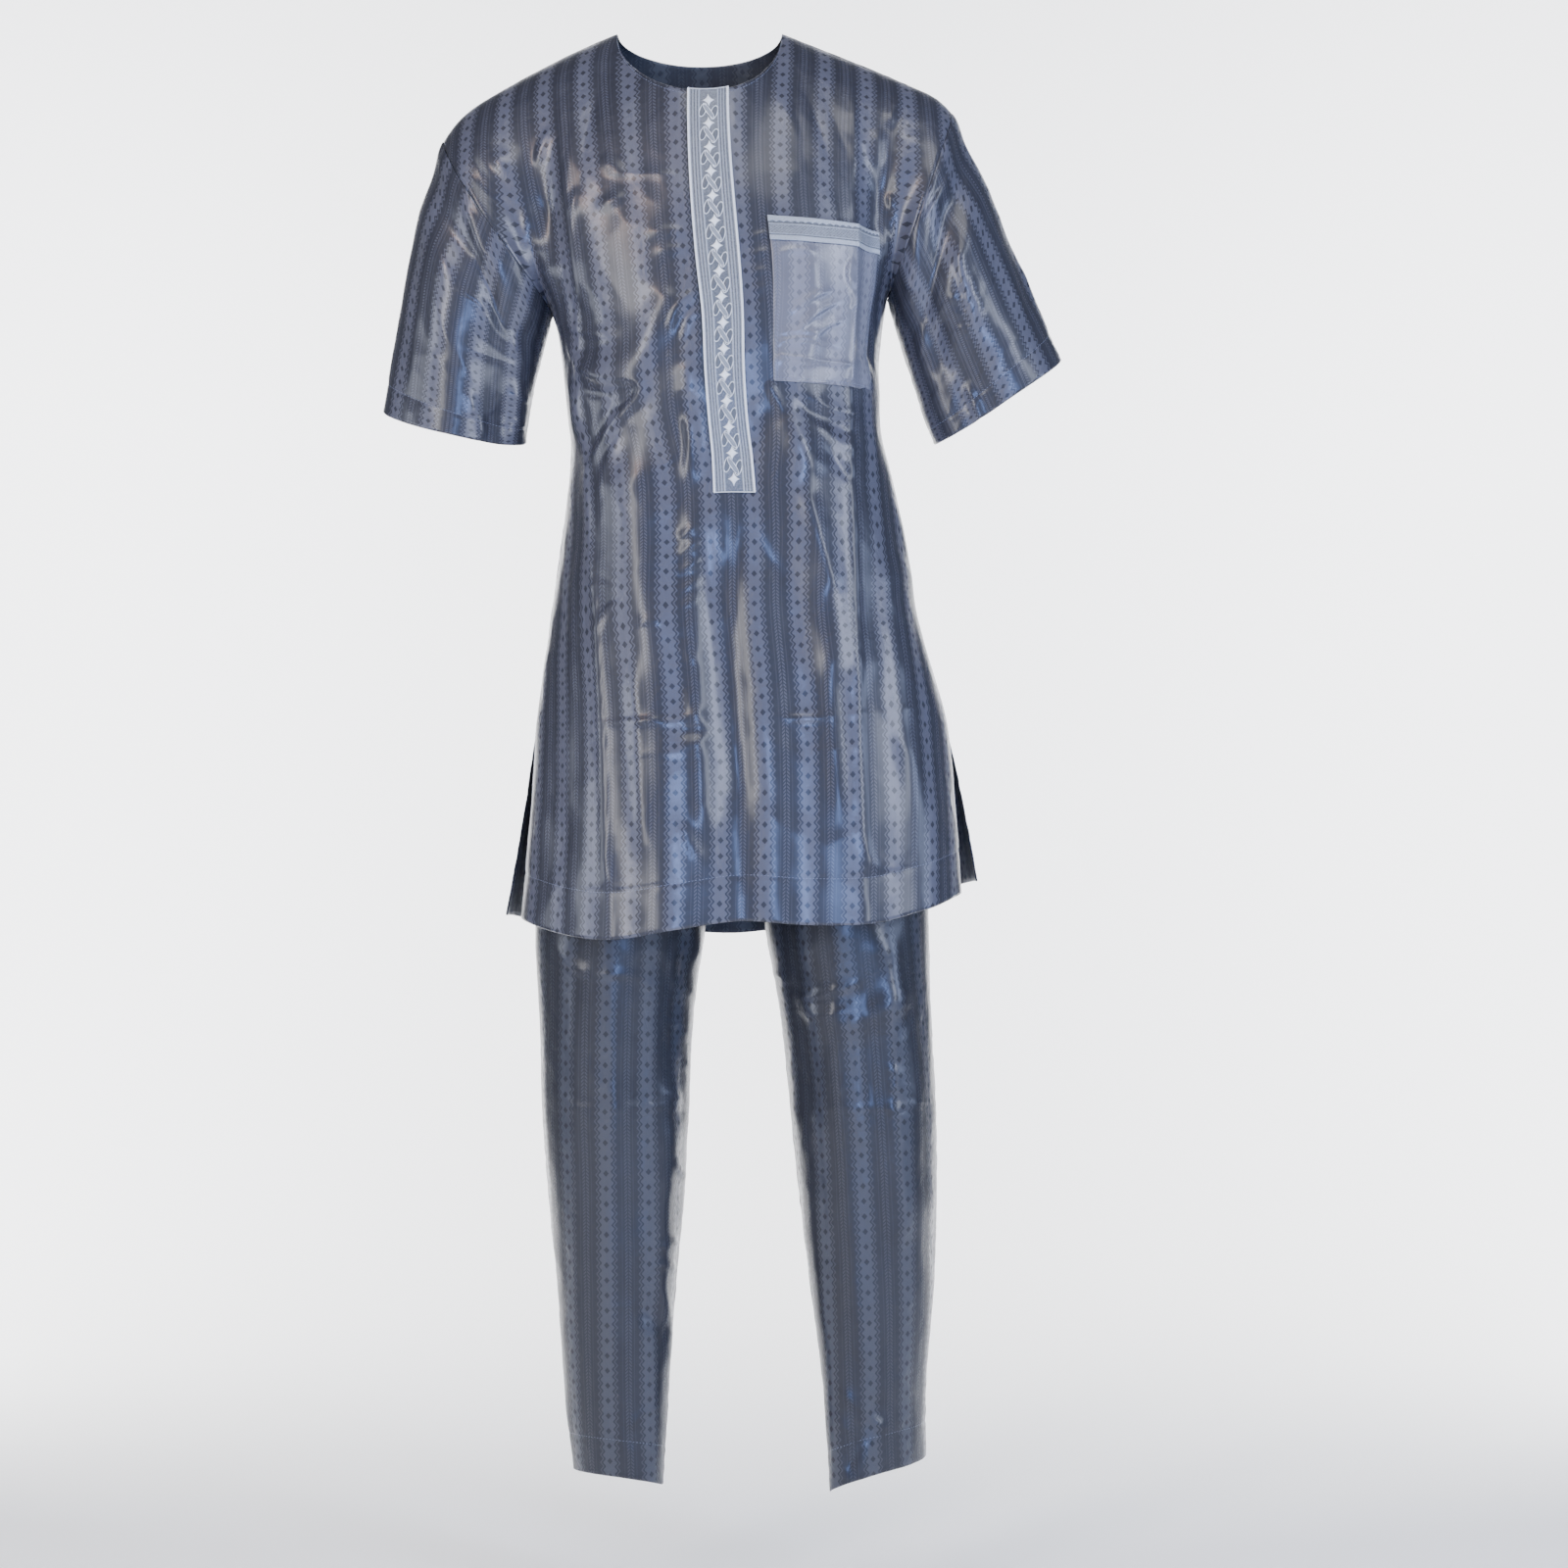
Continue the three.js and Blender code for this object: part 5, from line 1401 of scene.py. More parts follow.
    def build_panel(self, face: Face, finish: list[bpy.types.Material]) -> bpy.types.Object:
        """Builds the front or the back panel.

        Args:
            face: which panel.
            finish: the cloth's right and wrong side.

        Returns:
            The panel.
        """
        front = face is Face.FRONT
        rows, columns = ((208, 84), 160) if front else ((160, 64), 130)
        points, normals, places, h = self.panel(face, rows, columns)
        if front:
            # The slit's edges are turned under above the band's foot
            open_share = smooth((points[..., 2] - self.band_foot) / 90)
            places[..., 0] -= np.sign(places[..., 0]) * self.slit_turn * open_share
        thick = hem_wall(self.cloth, self.hem, h * self.lower_length - self.hem_depth)
        soup = Soup()
        shell(soup, points, normals, places, np.broadcast_to(thick, points.shape[:2]), -face.value)
        name = "tunic_front" if front else "tunic_back"
        piece = soup.finished(f"{name}_cloth", finish)
        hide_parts(name)
        return piece

    def loop(self, side: Side, around: Array) -> Array:
        """The armhole seam: up the front panel's edge and down the back panel's edge.

        The way round from 0 at the armpit to 0.5 at the shoulder tip is cut into nine equal parts, and
        a smooth curve through the table of shares gives the place on the panel's edge.
        """
        parts = 2 * (len(YOKE_ROWS) - 1)
        steps = tuple((k / parts, h) for k, h in enumerate(YOKE_ROWS))
        h = through(steps, np.minimum(around, 1 - around))[..., 0]
        s = np.full_like(h, side.sign)
        before, behind = self.plain(Face.FRONT, s, h), self.plain(Face.BACK, s, h)
        return np.where((around <= 0.5)[..., None], before, behind)

    def sleeve(self, side: Side, around: Array, down: Array, folded: bool = True) -> Array:
        """Points of a sleeve: cubic curves from the armhole seam to the hem's oval, and the folds."""
        around, down = np.broadcast_arrays(np.asarray(around, float), np.asarray(down, float))

        def bare(u: Array, t: Array) -> Array:
            """The sleeve without folds."""
            cut = SLEEVES[side]
            angle = 2 * math.pi * u
            over, reach = ((1 - np.cos(angle)) / 2)[..., None], np.sin(angle)
            start = self.loop(side, u)
            inner, outer = stack(cut.inner[0], 0, cut.inner[1]), stack(cut.outer[0], 0, cut.outer[1])
            end = mix(inner, outer, over) - stack(0, cut.half_depth * reach, cut.tilt * reach)
            length = mix(self.under_length, self.over_length, over) / 3
            ways = [
                mix(stack(a[0], 0, a[1]), stack(b[0], 0, b[1]), over)
                for a, b in ((cut.under_start, cut.over_start), (cut.under_end, cut.over_end))
            ]
            return bezier(start, start + ways[0] * length, end - ways[1] * length, end, t)

        wrapped = np.clip(around, 0.0012, 0.9988)
        points, normals = facing(bare, wrapped, np.clip(down, 0.001, 1), -side.sign, 0.001)
        if not folded:
            return points
        free = smooth(down * 5)
        cut = SLEEVES[side]
        across, along = around * self.sleeve_round, down * self.sleeve_length
        height = free * fold_height(cut.folds, across, along)
        ahead = smooth(3 * np.sin(2 * math.pi * around))
        seen = fold_height(SLEEVE_DETAIL[side], *VIEW.place(points)) * ahead
        behind = fold_height(cut.back_detail, across, along)
        seed = 40 if side is Side.LEFT else 50
        lie = SLEEVE_LIE.height(across, along, seed)
        height = height + smooth(down * 16) * (seen + behind + lie)
        height = height + 0.8 * np.exp(-along / 9) * uneven(across, down * 40, 9, seed + 2)
        height = height - 1.1 * np.exp(-along / 2)
        under = np.minimum(around, 1 - around) * self.sleeve_round
        height = height * (1 - np.exp(-under / 5))
        height = height + 0.4 * np.exp(-under / 8) * uneven(along, under, 9, seed + 3)
        above = (1 - down) * self.sleeve_front - self.sleeve_hem_depth
        height = height + sewn_line(above, 0.5, 0.3, uneven(across, down * 30, 8, seed + 4))
        return points + normals * height[..., None]

    def build_sleeve(self, side: Side, finish: list[bpy.types.Material]) -> bpy.types.Object:
        """Builds one sleeve, open along its seam under the arm, where its two edges meet.

        Args:
            side: which sleeve.
            finish: the cloth's right and wrong side.

        Returns:
            The sleeve.
        """
        around = np.linspace(0.0012, 0.9988, 145)[None, :]
        down = np.linspace(0.002, 1, 99)[:, None]
        turn = -side.sign
        points = self.sleeve(side, around, down)
        normals = normals_of(points, turn)
        cut = SLEEVES[side]
        over = (1 - np.cos(2 * math.pi * around)) / 2
        way = mix(np.array(cut.under_start), np.array(cut.over_start), over[..., None])
        grain = stack(-way[..., 0] * np.ones_like(down), 0, -way[..., 1] * np.ones_like(down))
        bare = self.sleeve(side, around, down, False)
        places = cloth_coordinates(bare, normals_of(bare, turn), grain, around.size // 2)
        places[..., 1] *= -1
        thick = hem_wall(self.cloth, self.hem, (1 - down) * self.sleeve_front - self.sleeve_hem_depth)
        soup = Soup()
        shell(soup, points, normals, places, np.broadcast_to(thick, points.shape[:2]), turn)
        piece = soup.finished(f"sleeve_{side.value}_cloth", finish)
        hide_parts(f"sleeve_{side.value}")
        return piece

    def on_front(self, lift: float) -> Surface:
        """The front with its main folds alone, lifted off the cloth, as what is sewn on it lies."""

        def lifted(s: Array, h: Array) -> Array:
            """A point above the front."""
            points, normals, height = self.main_folds(Face.FRONT, s, h)
            return points + normals * (height + lift)[..., None]

        return lifted

    def band_place(self, w: Array, t: Array) -> tuple[Array, Array]:
        """The front's parameters for a place on the band: w from its left edge (0) to its right edge
        (1), t as the share of its length from its foot (0) to the neckline (1)."""
        w, t = np.broadcast_arrays(np.asarray(w, float), np.asarray(t, float))
        return mix(*self.band_edges, w), np.interp(t, self.band_lengths, self.band_shares)

    def band_surface(self, lift: float) -> Surface:
        """The band's ground at a height above the front."""
        front = self.on_front(lift)

        def ground(w: Array, t: Array) -> Array:
            """A point of the band."""
            return front(*self.band_place(w, t))

        return ground

    def build_band(self, finish: dict[str, bpy.types.Material]) -> list[bpy.types.Object]:
        """Builds the ornamental band: ribbed ground, corded edges, stars, and leaves with raised rims.

        The ground's ribs are half waves across it. Its middle lies a little lower and carries a chain of
        four-point stars. Between every two stars a pale ribbon crosses from a dark leaf on one side to
        another on the other side.

        Args:
            finish: materials by name.

        Returns:
            The band's pieces, the ground first.
        """
        width, length, stars = 40.0, 405.0, 16
        w, t = np.linspace(0, 1, 93)[None, :], np.linspace(0, 1, 211)[:, None]
        off = np.abs(w - 0.5) * width
        ribbed = (off > 9.4) & (off < 18.2)
        rib = np.abs(np.cos(math.pi * (off - 9.4) / 2.93))
        border = np.exp(-(((off - 9.3) / 0.55) ** 2))
        height = np.where(ribbed, 0.45 * rib, 0.05) + 0.5 * border - np.where(off < 8.6, 0.2, 0)
        shade = np.where(ribbed, 0.12 + 0.7 * rib**3, 0.45) + 0.8 * border - np.where(off < 8.6, 0.2, 0)
        points, normals = facing(self.band_surface(1.0), w, t, 1)
        points = points + normals * height[..., None]
        places = np.stack(np.broadcast_arrays((w - 0.5) * width, t * length), -1)
        soup = Soup()
        shell(soup, points, normals, places, 0.6, 1, 0, shade * np.ones_like(t))
        ground = soup.finished("front_band_ground", [finish["ground"]])

        cords = Soup()
        along = np.linspace(0, 1, 640)
        for edge in (0.012, 0.988):
            line, out = facing(self.band_surface(1.25), np.full_like(along, edge), along, 1)
            side = unit(np.cross(unit(np.gradient(line, axis=0)), out))
            for start in (0, math.pi):
                turn = start + 2 * math.pi * along * length / 4.6
                strand = line + 0.7 * (out * np.cos(turn)[:, None] + side * np.sin(turn)[:, None])
                tube(cords, strand, out, 0.74, 6, 1.0)
        for edge in (0.0, 1.0):
            across = np.linspace(0.02, 0.98, 60)
            line, out = facing(self.band_surface(1.3), across, np.full_like(across, edge), 1)
            tube(cords, line, out, 0.5, 6, 0.7)
        corded = cords.finished("front_band_cords", [finish["cord"]])

        cell = 1 / stars
        at = (np.arange(stars) + 0.5) * cell
        star_soup = Soup()
        angle = full_turn(40)
        power = 0.66
        wide, tall = np.abs(np.cos(angle) / 6.3), np.abs(np.sin(angle) / 7.4)
        outline = (wide**power + tall**power) ** (-1 / power)
        star = dome(outline, (0.95, 0.8, 0.45, 0.0), (0.35, 0.8, 1.0))
        places_w, places_t = np.full(stars, 0.5), at
        points, normals = facing(self.band_surface(0.85), places_w, places_t, 1)
        east = self.band_surface(0.85)(places_w + 0.02, places_t) - points
        scatter(star_soup, star, points, east, normals, 1.0)
        stars_piece = star_soup.finished("front_band_stars", [finish["cord"]])

        leaf_soup, rim_soup = Soup(), Soup()
        round_angle = full_turn(28)

        def pointed(half_long: float, half_wide: float) -> Array:
            """Outline of a leaf, an ellipse with drawn-out ends."""
            oval = np.hypot(np.cos(round_angle) / half_long, np.sin(round_angle) / half_wide)
            return (1 + 0.12 * np.cos(round_angle) ** 6) / oval

        crossings = np.arange(1, stars) * cell
        ground_at = self.band_surface(0.85)
        for right, slope in ((-1, 0.32), (1, 0.32), (0, -0.62)):
            w_at = np.full_like(crossings, 0.5 + right * 5.5 / width)
            t_at = crossings - right * 1.6 / length
            points, normals = facing(ground_at, w_at, t_at, 1)
            east = unit(ground_at(w_at + 0.02, t_at) - points)
            north = unit(ground_at(w_at, t_at + 0.002) - points)
            radius = pointed(7.0, 3.1) if right else pointed(8.6, 2.2)
            form = dome(radius, (0.7, 0.55, 0.25, 0.0), (0.5, 0.85, 1.0))
            raised = points + normals * (0.0 if right else 0.45)
            scatter(leaf_soup, form, raised, north + slope * east, normals, 0.0 if right else 1.6)
            scatter(rim_soup, ring_form(radius, 0.45, 5), raised, north + slope * east, normals, 1.0)
        leaves = leaf_soup.finished("front_band_leaves", [finish["leaf"]])
        rims = rim_soup.finished("front_band_leaf_rims", [finish["cord"]])
        pieces = [ground, corded, stars_piece, leaves, rims]
        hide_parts("front_band")
        return pieces

    def pocket_surface(self, lift: float, foot: tuple[float, float], folded: bool = True) -> Surface:
        """The pocket's cloth, or its trim's, at a height above the front.

        The first parameter runs across the pocket, the second from the named foot to the top edge.

        Args:
            lift: height above the front in mm.
            foot: height of the lower edge at the two sides.
            folded: whether the pocket's own folds show on it.

        Returns:
            The surface.
        """

        def cloth(p: Array, q: Array) -> Array:
            """A point of the pocket."""
            p, q = np.broadcast_arrays(np.asarray(p, float), np.asarray(q, float))
            s = mix(*self.pocket_edges, p)
            z = mix(mix(*foot, p), mix(*self.pocket_top, p), q)
            h = self.share_at(s, z)
            points, normals, height = self.main_folds(Face.FRONT, s, h)
            raised = height + lift
            if folded:
                right, below = VIEW.place(points)
                share = (z - mix(*self.pocket_bottom, p)) / 160
                inside = smooth(p * 14) * smooth((1 - p) * 14) * smooth(share * 20)
                puff = 1.5 * np.sin(math.pi * np.clip(p, 0, 1)) ** 0.7 * np.sqrt(np.clip(share, 0, 1.2))
                lie = 0.7 * uneven(right, below, 24, 70) + 0.55 * crumple(right, below, 30, 71)
                raised = raised + inside * (1.5 * fold_height(POCKET_FOLDS, right, below) + lie) + puff
                raised = raised + 0.25 * (1 - inside) * uneven(right * 1.1, below, 7, 72)
            return points + normals * raised[..., None]

        return cloth

    def build_pocket(self, finish: dict[str, bpy.types.Material]) -> list[bpy.types.Object]:
        """Builds the patch pocket, its stitching and the woven trim along its top.

        The trim's relief goes by the height above its lower edge: a ribbed border, a net of two crossing
        sets of waves, a cord line and a row of scallops.

        Args:
            finish: materials by name.

        Returns:
            Pocket, stitching and trim.
        """
        cloth = self.pocket_surface(1.15, self.pocket_bottom)
        p, q = np.linspace(0, 1, 66)[None, :], np.linspace(0, 1, 106)[:, None]
        points = cloth(p, q)
        normals = normals_of(points, 1)
        grain = stack(-0.05, 0, 1) * np.ones_like(normals)
        places = cloth_coordinates(points, normals, grain, p.size // 2)
        soup = Soup()
        shell(soup, points, normals, places, 0.9, 1, 0)
        pocket = soup.finished("chest_pocket_cloth", [finish["pocket"]])
        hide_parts("chest_pocket")

        sewn = Soup()
        down, over = np.linspace(0.985, 0.02, 80), np.linspace(0.03, 0.97, 60)
        a = np.concatenate([np.full_like(down, 0.03), over, np.full_like(down, 0.97)])
        b = np.concatenate([down, np.full_like(over, 0.02), down[::-1]])
        Stitching().sew(sewn, cloth, a, b, 1)
        stitching = sewn.finished("chest_pocket_stitching", [finish["thread"]])

        wide = 102.0
        p, q = np.linspace(-0.004, 1.004, 171)[None, :], np.linspace(0, 1.01, 43)[:, None]
        tall = mix(24.0, 21.0, p) * q
        x = p * wide
        border = smooth((4.8 - tall) / 0.5)
        net = smooth((tall - 6.6) / 0.5) * smooth((14.9 - tall) / 0.5)
        waves = np.abs(np.sin(math.pi * (x + tall) / 2.6)) * np.abs(np.sin(math.pi * (x - tall) / 2.6))
        cord = np.exp(-(((tall - 15.8) / 0.7) ** 2)) + np.exp(-(((tall - 6.2) / 0.45) ** 2))
        scallop = smooth((tall - 17.6 - 1.6 * np.abs(np.sin(math.pi * x / 5.4))) / 0.5)
        rib = np.abs(np.sin(math.pi * x / 1.3))
        height = 0.55 * border + 0.15 * rib * border + 0.4 * net * (1 - waves) + 0.5 * cord + 0.35 * scallop
        shade = 0.1 + 0.95 * border + 0.5 * net * (1 - waves) + 0.8 * cord + 0.8 * scallop
        points = self.pocket_surface(2.3, self.trim_foot)(p, q)
        normals = normals_of(points, 1)
        points = points + normals * height[..., None]
        soup = Soup()
        places = np.stack(np.broadcast_arrays(x, tall), -1)
        shell(soup, points, normals, places, 0.8, 1, 0, np.clip(shade, 0, 1))
        trim = soup.finished("pocket_trim_braid", [finish["ground"]])
        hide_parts("pocket_trim")
        return [pocket, stitching, trim]

    def build_stitching(self, face: Face, thread: bpy.types.Material) -> bpy.types.Object:
        """Sews a panel's hem, the edges of its vents and its neckline.

        Args:
            face: which panel.
            thread: the sewing thread.

        Returns:
            The stitches, as one piece.
        """
        soup, sewing, turn = Soup(), Stitching(), -face.value

        def cloth(s: Array, h: Array) -> Array:
            """The panel's right side."""
            return self.folded(face, s, h)

        hem = self.hem_depth / self.lower_length
        across = np.linspace(-0.95, 0.95, 300)
        sewing.sew(soup, cloth, across, np.full_like(across, hem), turn)
        up = np.linspace(hem + 0.004, 0.305, 60)
        for edge in (-0.95, 0.95):
            sewing.sew(soup, cloth, np.full_like(up, edge), up, turn)
        neck = np.linspace(-0.49, 0.49, 200)
        if face is Face.FRONT:
            for part in (neck[neck < self.band_edges[0] - 0.01], neck[neck > self.band_edges[1] + 0.01]):
                sewing.sew(soup, cloth, part, np.full_like(part, 1.976), turn)
        else:
            sewing.sew(soup, cloth, neck, np.full_like(neck, 1.97), turn)
        name = "front" if face is Face.FRONT else "back"
        piece = soup.finished(f"tunic_{name}_stitching", [thread])
        return piece

    def build_sleeve_stitching(self, side: Side, thread: bpy.types.Material) -> bpy.types.Object:
        """Sews a sleeve's hem, all the way round."""
        soup = Soup()
        around = np.linspace(0.004, 0.996, 300)
        down = np.full_like(around, 1 - self.sleeve_hem_depth / self.sleeve_front)
        Stitching().sew(soup, lambda a, b: self.sleeve(side, a, b), around, down, -side.sign)
        piece = soup.finished(f"sleeve_{side.value}_stitching", [thread])
        return piece


def ring_form(radius: Array, thick: float, sides: int) -> tuple[Array, list[Array]]:
    """A closed raised rim: a small circle carried round an outline that is a radius for each angle."""
    count = len(radius)
    angle, small = full_turn(count), full_turn(sides)
    reach = radius[:, None] + thick * np.cos(small)
    around_x, around_y = reach * np.cos(angle)[:, None], reach * np.sin(angle)[:, None]
    points = stack(around_x, around_y, 0.3 + thick * np.sin(small))
    corner = np.arange(count * sides).reshape(count, sides)
    ahead, beyond = np.roll(corner, -1, axis=0), np.roll(corner, -1, axis=1)
    both = np.roll(beyond, -1, axis=0)
    return points.reshape(-1, 3), [np.stack([corner, ahead, both, beyond], -1).reshape(-1, 4)]


@dataclass(frozen=True)
class Leg:
    """Sizes and folds of one trouser leg. The cut goes z, outer, inner, front, back."""

    cut: tuple
    hem_outer: float
    hem_inner: float
    forward: float
    rise: float
    front_folds: tuple[Fold, ...]
    back_folds: tuple[Fold, ...]
    front_detail: tuple[Fold, ...]
    back_detail: tuple[Fold, ...]


# Main folds and the back's finer ones are placed across from the side seam in mm of a 220 mm width, and
# by height. The front's finer ones are placed on the front view.
LEGS = {
    Side.LEFT: Leg(
        (
            (-735, -160, 38, -102, 110),
            (-800, -165, 24, -96, 102),
            (-860, -167, 12, -91, 96),
            (-922, -168, 3, -86, 90),
            (-994, -164, -7, -81, 82),
            (-1090, -162, -12, -76, 74),
            (-1186, -155, -17, -69, 69),
            (-1282, -146, -26, -60, 66),
            (-1378, -140, -32, -50, 66),
            (-1490, -127, -39, -40, 68),
        ),
        -1462, -1473, 12, 9,
        (
            Fold(18, -5, ((180, -820), (176, -960), (185, -1090))),
            Fold(14, 5, ((136, -760), (163, -860), (198, -930))),
            Fold(16, 4, ((176, -1080), (167, -1200), (180, -1300))),
            Fold(12, -4, ((154, -1290), (187, -1312))),
        ),
        (
            Fold(18, -6, ((55, -1060), (110, -1085), (176, -1070))),
            Fold(18, -6, ((132, -760), (110, -860), (99, -980))),
            Fold(18, 5, ((66, -1150), (110, -1168), (165, -1150))),
        ),
        (
            soft(7, 2.4, ((700, 952), (690, 990), (698, 1030)), 0.2),
            tuck(4, 1.8, ((684, 1004), (698, 1008), (712, 1020))),
            tuck(4, 1.8, ((680, 1040), (694, 1048), (706, 1062))),
            tuck(4, 1.7, ((684, 1076), (696, 1082), (706, 1094))),
            tuck(4, 1.5, ((676, 1112), (690, 1120), (702, 1134))),
            soft(5, 2.0, ((692, 1050), (690, 1100), (694, 1160)), 0.25),
            tuck(4, 1.8, ((680, 1186), (690, 1192), (702, 1206))),
            tuck(4, 2.0, ((664, 1276), (680, 1272), (696, 1266))),
            tuck(4, 2.0, ((662, 1294), (678, 1292), (694, 1296))),
            soft(5, 1.6, ((676, 1310), (682, 1350), (680, 1400)), 0.25),
            tuck(3.4, 1.2, ((600, 1000), (640, 996), (676, 1012))),
            soft(8, 1.8, ((622, 960), (626, 1100), (622, 1300), (630, 1460)), 0.15),
            soft(8, -1.8, ((656, 980), (652, 1140), (646, 1300)), 0.2),
            soft(7, 1.5, ((584, 980), (588, 1160), (592, 1400)), 0.2),
            tuck(3.4, 1.4, ((640, 1462), (656, 1444), (676, 1436))),
            crease(2.4, 0.8, ((570, 1128), (620, 1131), (690, 1128))),
            crease(2.4, 0.7, ((578, 1330), (630, 1333), (680, 1330))),
            tuck(5, 1.6, ((562, 960), (580, 985), (606, 1000))),
        ),
        (
            tuck(7, 2.6, ((40, -960), (100, -985), (190, -975)), 0.25),
            tuck(6, 2.2, ((60, -1010), (120, -1028), (196, -1016)), 0.25),
            tuck(6, 2.4, ((36, -1076), (96, -1104), (180, -1092)), 0.25),
            tuck(5, 2.0, ((52, -1120), (110, -1136), (176, -1124)), 0.25),
            tuck(6, 2.0, ((70, -1200), (120, -1212), (170, -1200))),
            soft(8, 2.0, ((110, -1240), (116, -1340), (110, -1450)), 0.2),
            crease(3, 1.2, ((110, -780), (112, -1100), (110, -1465)), 0.05),
            tuck(5, 1.8, ((150, -1380), (120, -1400), (70, -1394))),
            tuck(5, 1.6, ((160, -1414), (120, -1430), (80, -1426))),
        ),
    ),
    Side.RIGHT: Leg(
        (
            (-735, 226, 38, -102, 110),
            (-800, 229, 50, -96, 102),
            (-860, 231, 59, -91, 96),
            (-922, 233, 68, -86, 90),
            (-994, 235, 81, -81, 82),
            (-1090, 240, 91, -76, 74),
            (-1186, 241, 101, -69, 69),
            (-1282, 238, 113, -60, 66),
            (-1378, 231, 125, -50, 66),
            (-1490, 232, 132, -40, 68),
        ),
        -1452, -1477, 26, 9,
        (
            Fold(18, -5, ((180, -820), (172, -950), (176, -1080))),
            Fold(18, 5, ((77, -930), (66, -1060), (75, -1200))),
            Fold(14, 4, ((66, -975), (121, -1000), (165, -985))),
            Fold(14, -4, ((110, -1390), (154, -1440))),
        ),
        (
            Fold(18, -6, ((55, -1060), (110, -1082), (176, -1075))),
            Fold(18, -6, ((132, -760), (110, -860), (99, -980))),
            Fold(18, 5, ((66, -1150), (110, -1165), (165, -1155))),
        ),
        (
            tuck(4, 1.8, ((798, 1022), (838, 1016), (884, 1002)), 0.25),
            tuck(4, 1.5, ((812, 1038), (846, 1036), (880, 1026))),
            tuck(4, 1.6, ((786, 990), (800, 1000), (818, 1004))),
            soft(8, 2.0, ((912, 950), (908, 1040), (912, 1140), (922, 1280)), 0.2),
            tuck(4, 1.8, ((904, 1086), (912, 1098), (908, 1118))),
            tuck(4, 1.5, ((902, 1126), (912, 1138), (922, 1142))),
            soft(8, 1.8, ((850, 960), (856, 1120), (872, 1300), (888, 1450)), 0.15),
            soft(8, -1.8, ((882, 980), (890, 1160), (902, 1340)), 0.2),
            soft(7, -1.5, ((828, 1060), (836, 1200), (852, 1380)), 0.2),
            soft(7, 1.5, ((930, 1000), (936, 1160), (938, 1340)), 0.2),
            tuck(5, 2.0, ((852, 1418), (880, 1442), (908, 1466)), 0.2),
            tuck(4, 1.6, ((846, 1440), (864, 1460), (884, 1476))),
            tuck(4, 1.4, ((906, 1400), (922, 1420), (940, 1428))),
            tuck(4, 1.4, ((826, 1190), (840, 1200), (848, 1216))),
            tuck(4, 1.2, ((836, 1290), (850, 1296), (860, 1310))),
            crease(2.4, 0.8, ((818, 1128), (870, 1131), (950, 1126))),
            crease(2.4, 0.7, ((838, 1330), (880, 1333), (946, 1328))),
        ),
        (
            tuck(7, 2.6, ((36, -955), (104, -984), (186, -970)), 0.25),
            tuck(6, 2.2, ((56, -1006), (124, -1026), (192, -1012)), 0.25),
            tuck(6, 2.4, ((40, -1080), (102, -1106), (184, -1090)), 0.25),
            tuck(5, 2.0, ((60, -1124), (116, -1138), (170, -1128)), 0.25),
            tuck(6, 2.0, ((64, -1196), (124, -1210), (176, -1204))),
            soft(8, 2.0, ((104, -1240), (112, -1340), (108, -1450)), 0.2),
            crease(3, 1.2, ((110, -780), (112, -1100), (110, -1465)), 0.05),
            tuck(5, 1.8, ((146, -1384), (116, -1402), (66, -1390))),
        ),
    ),
}


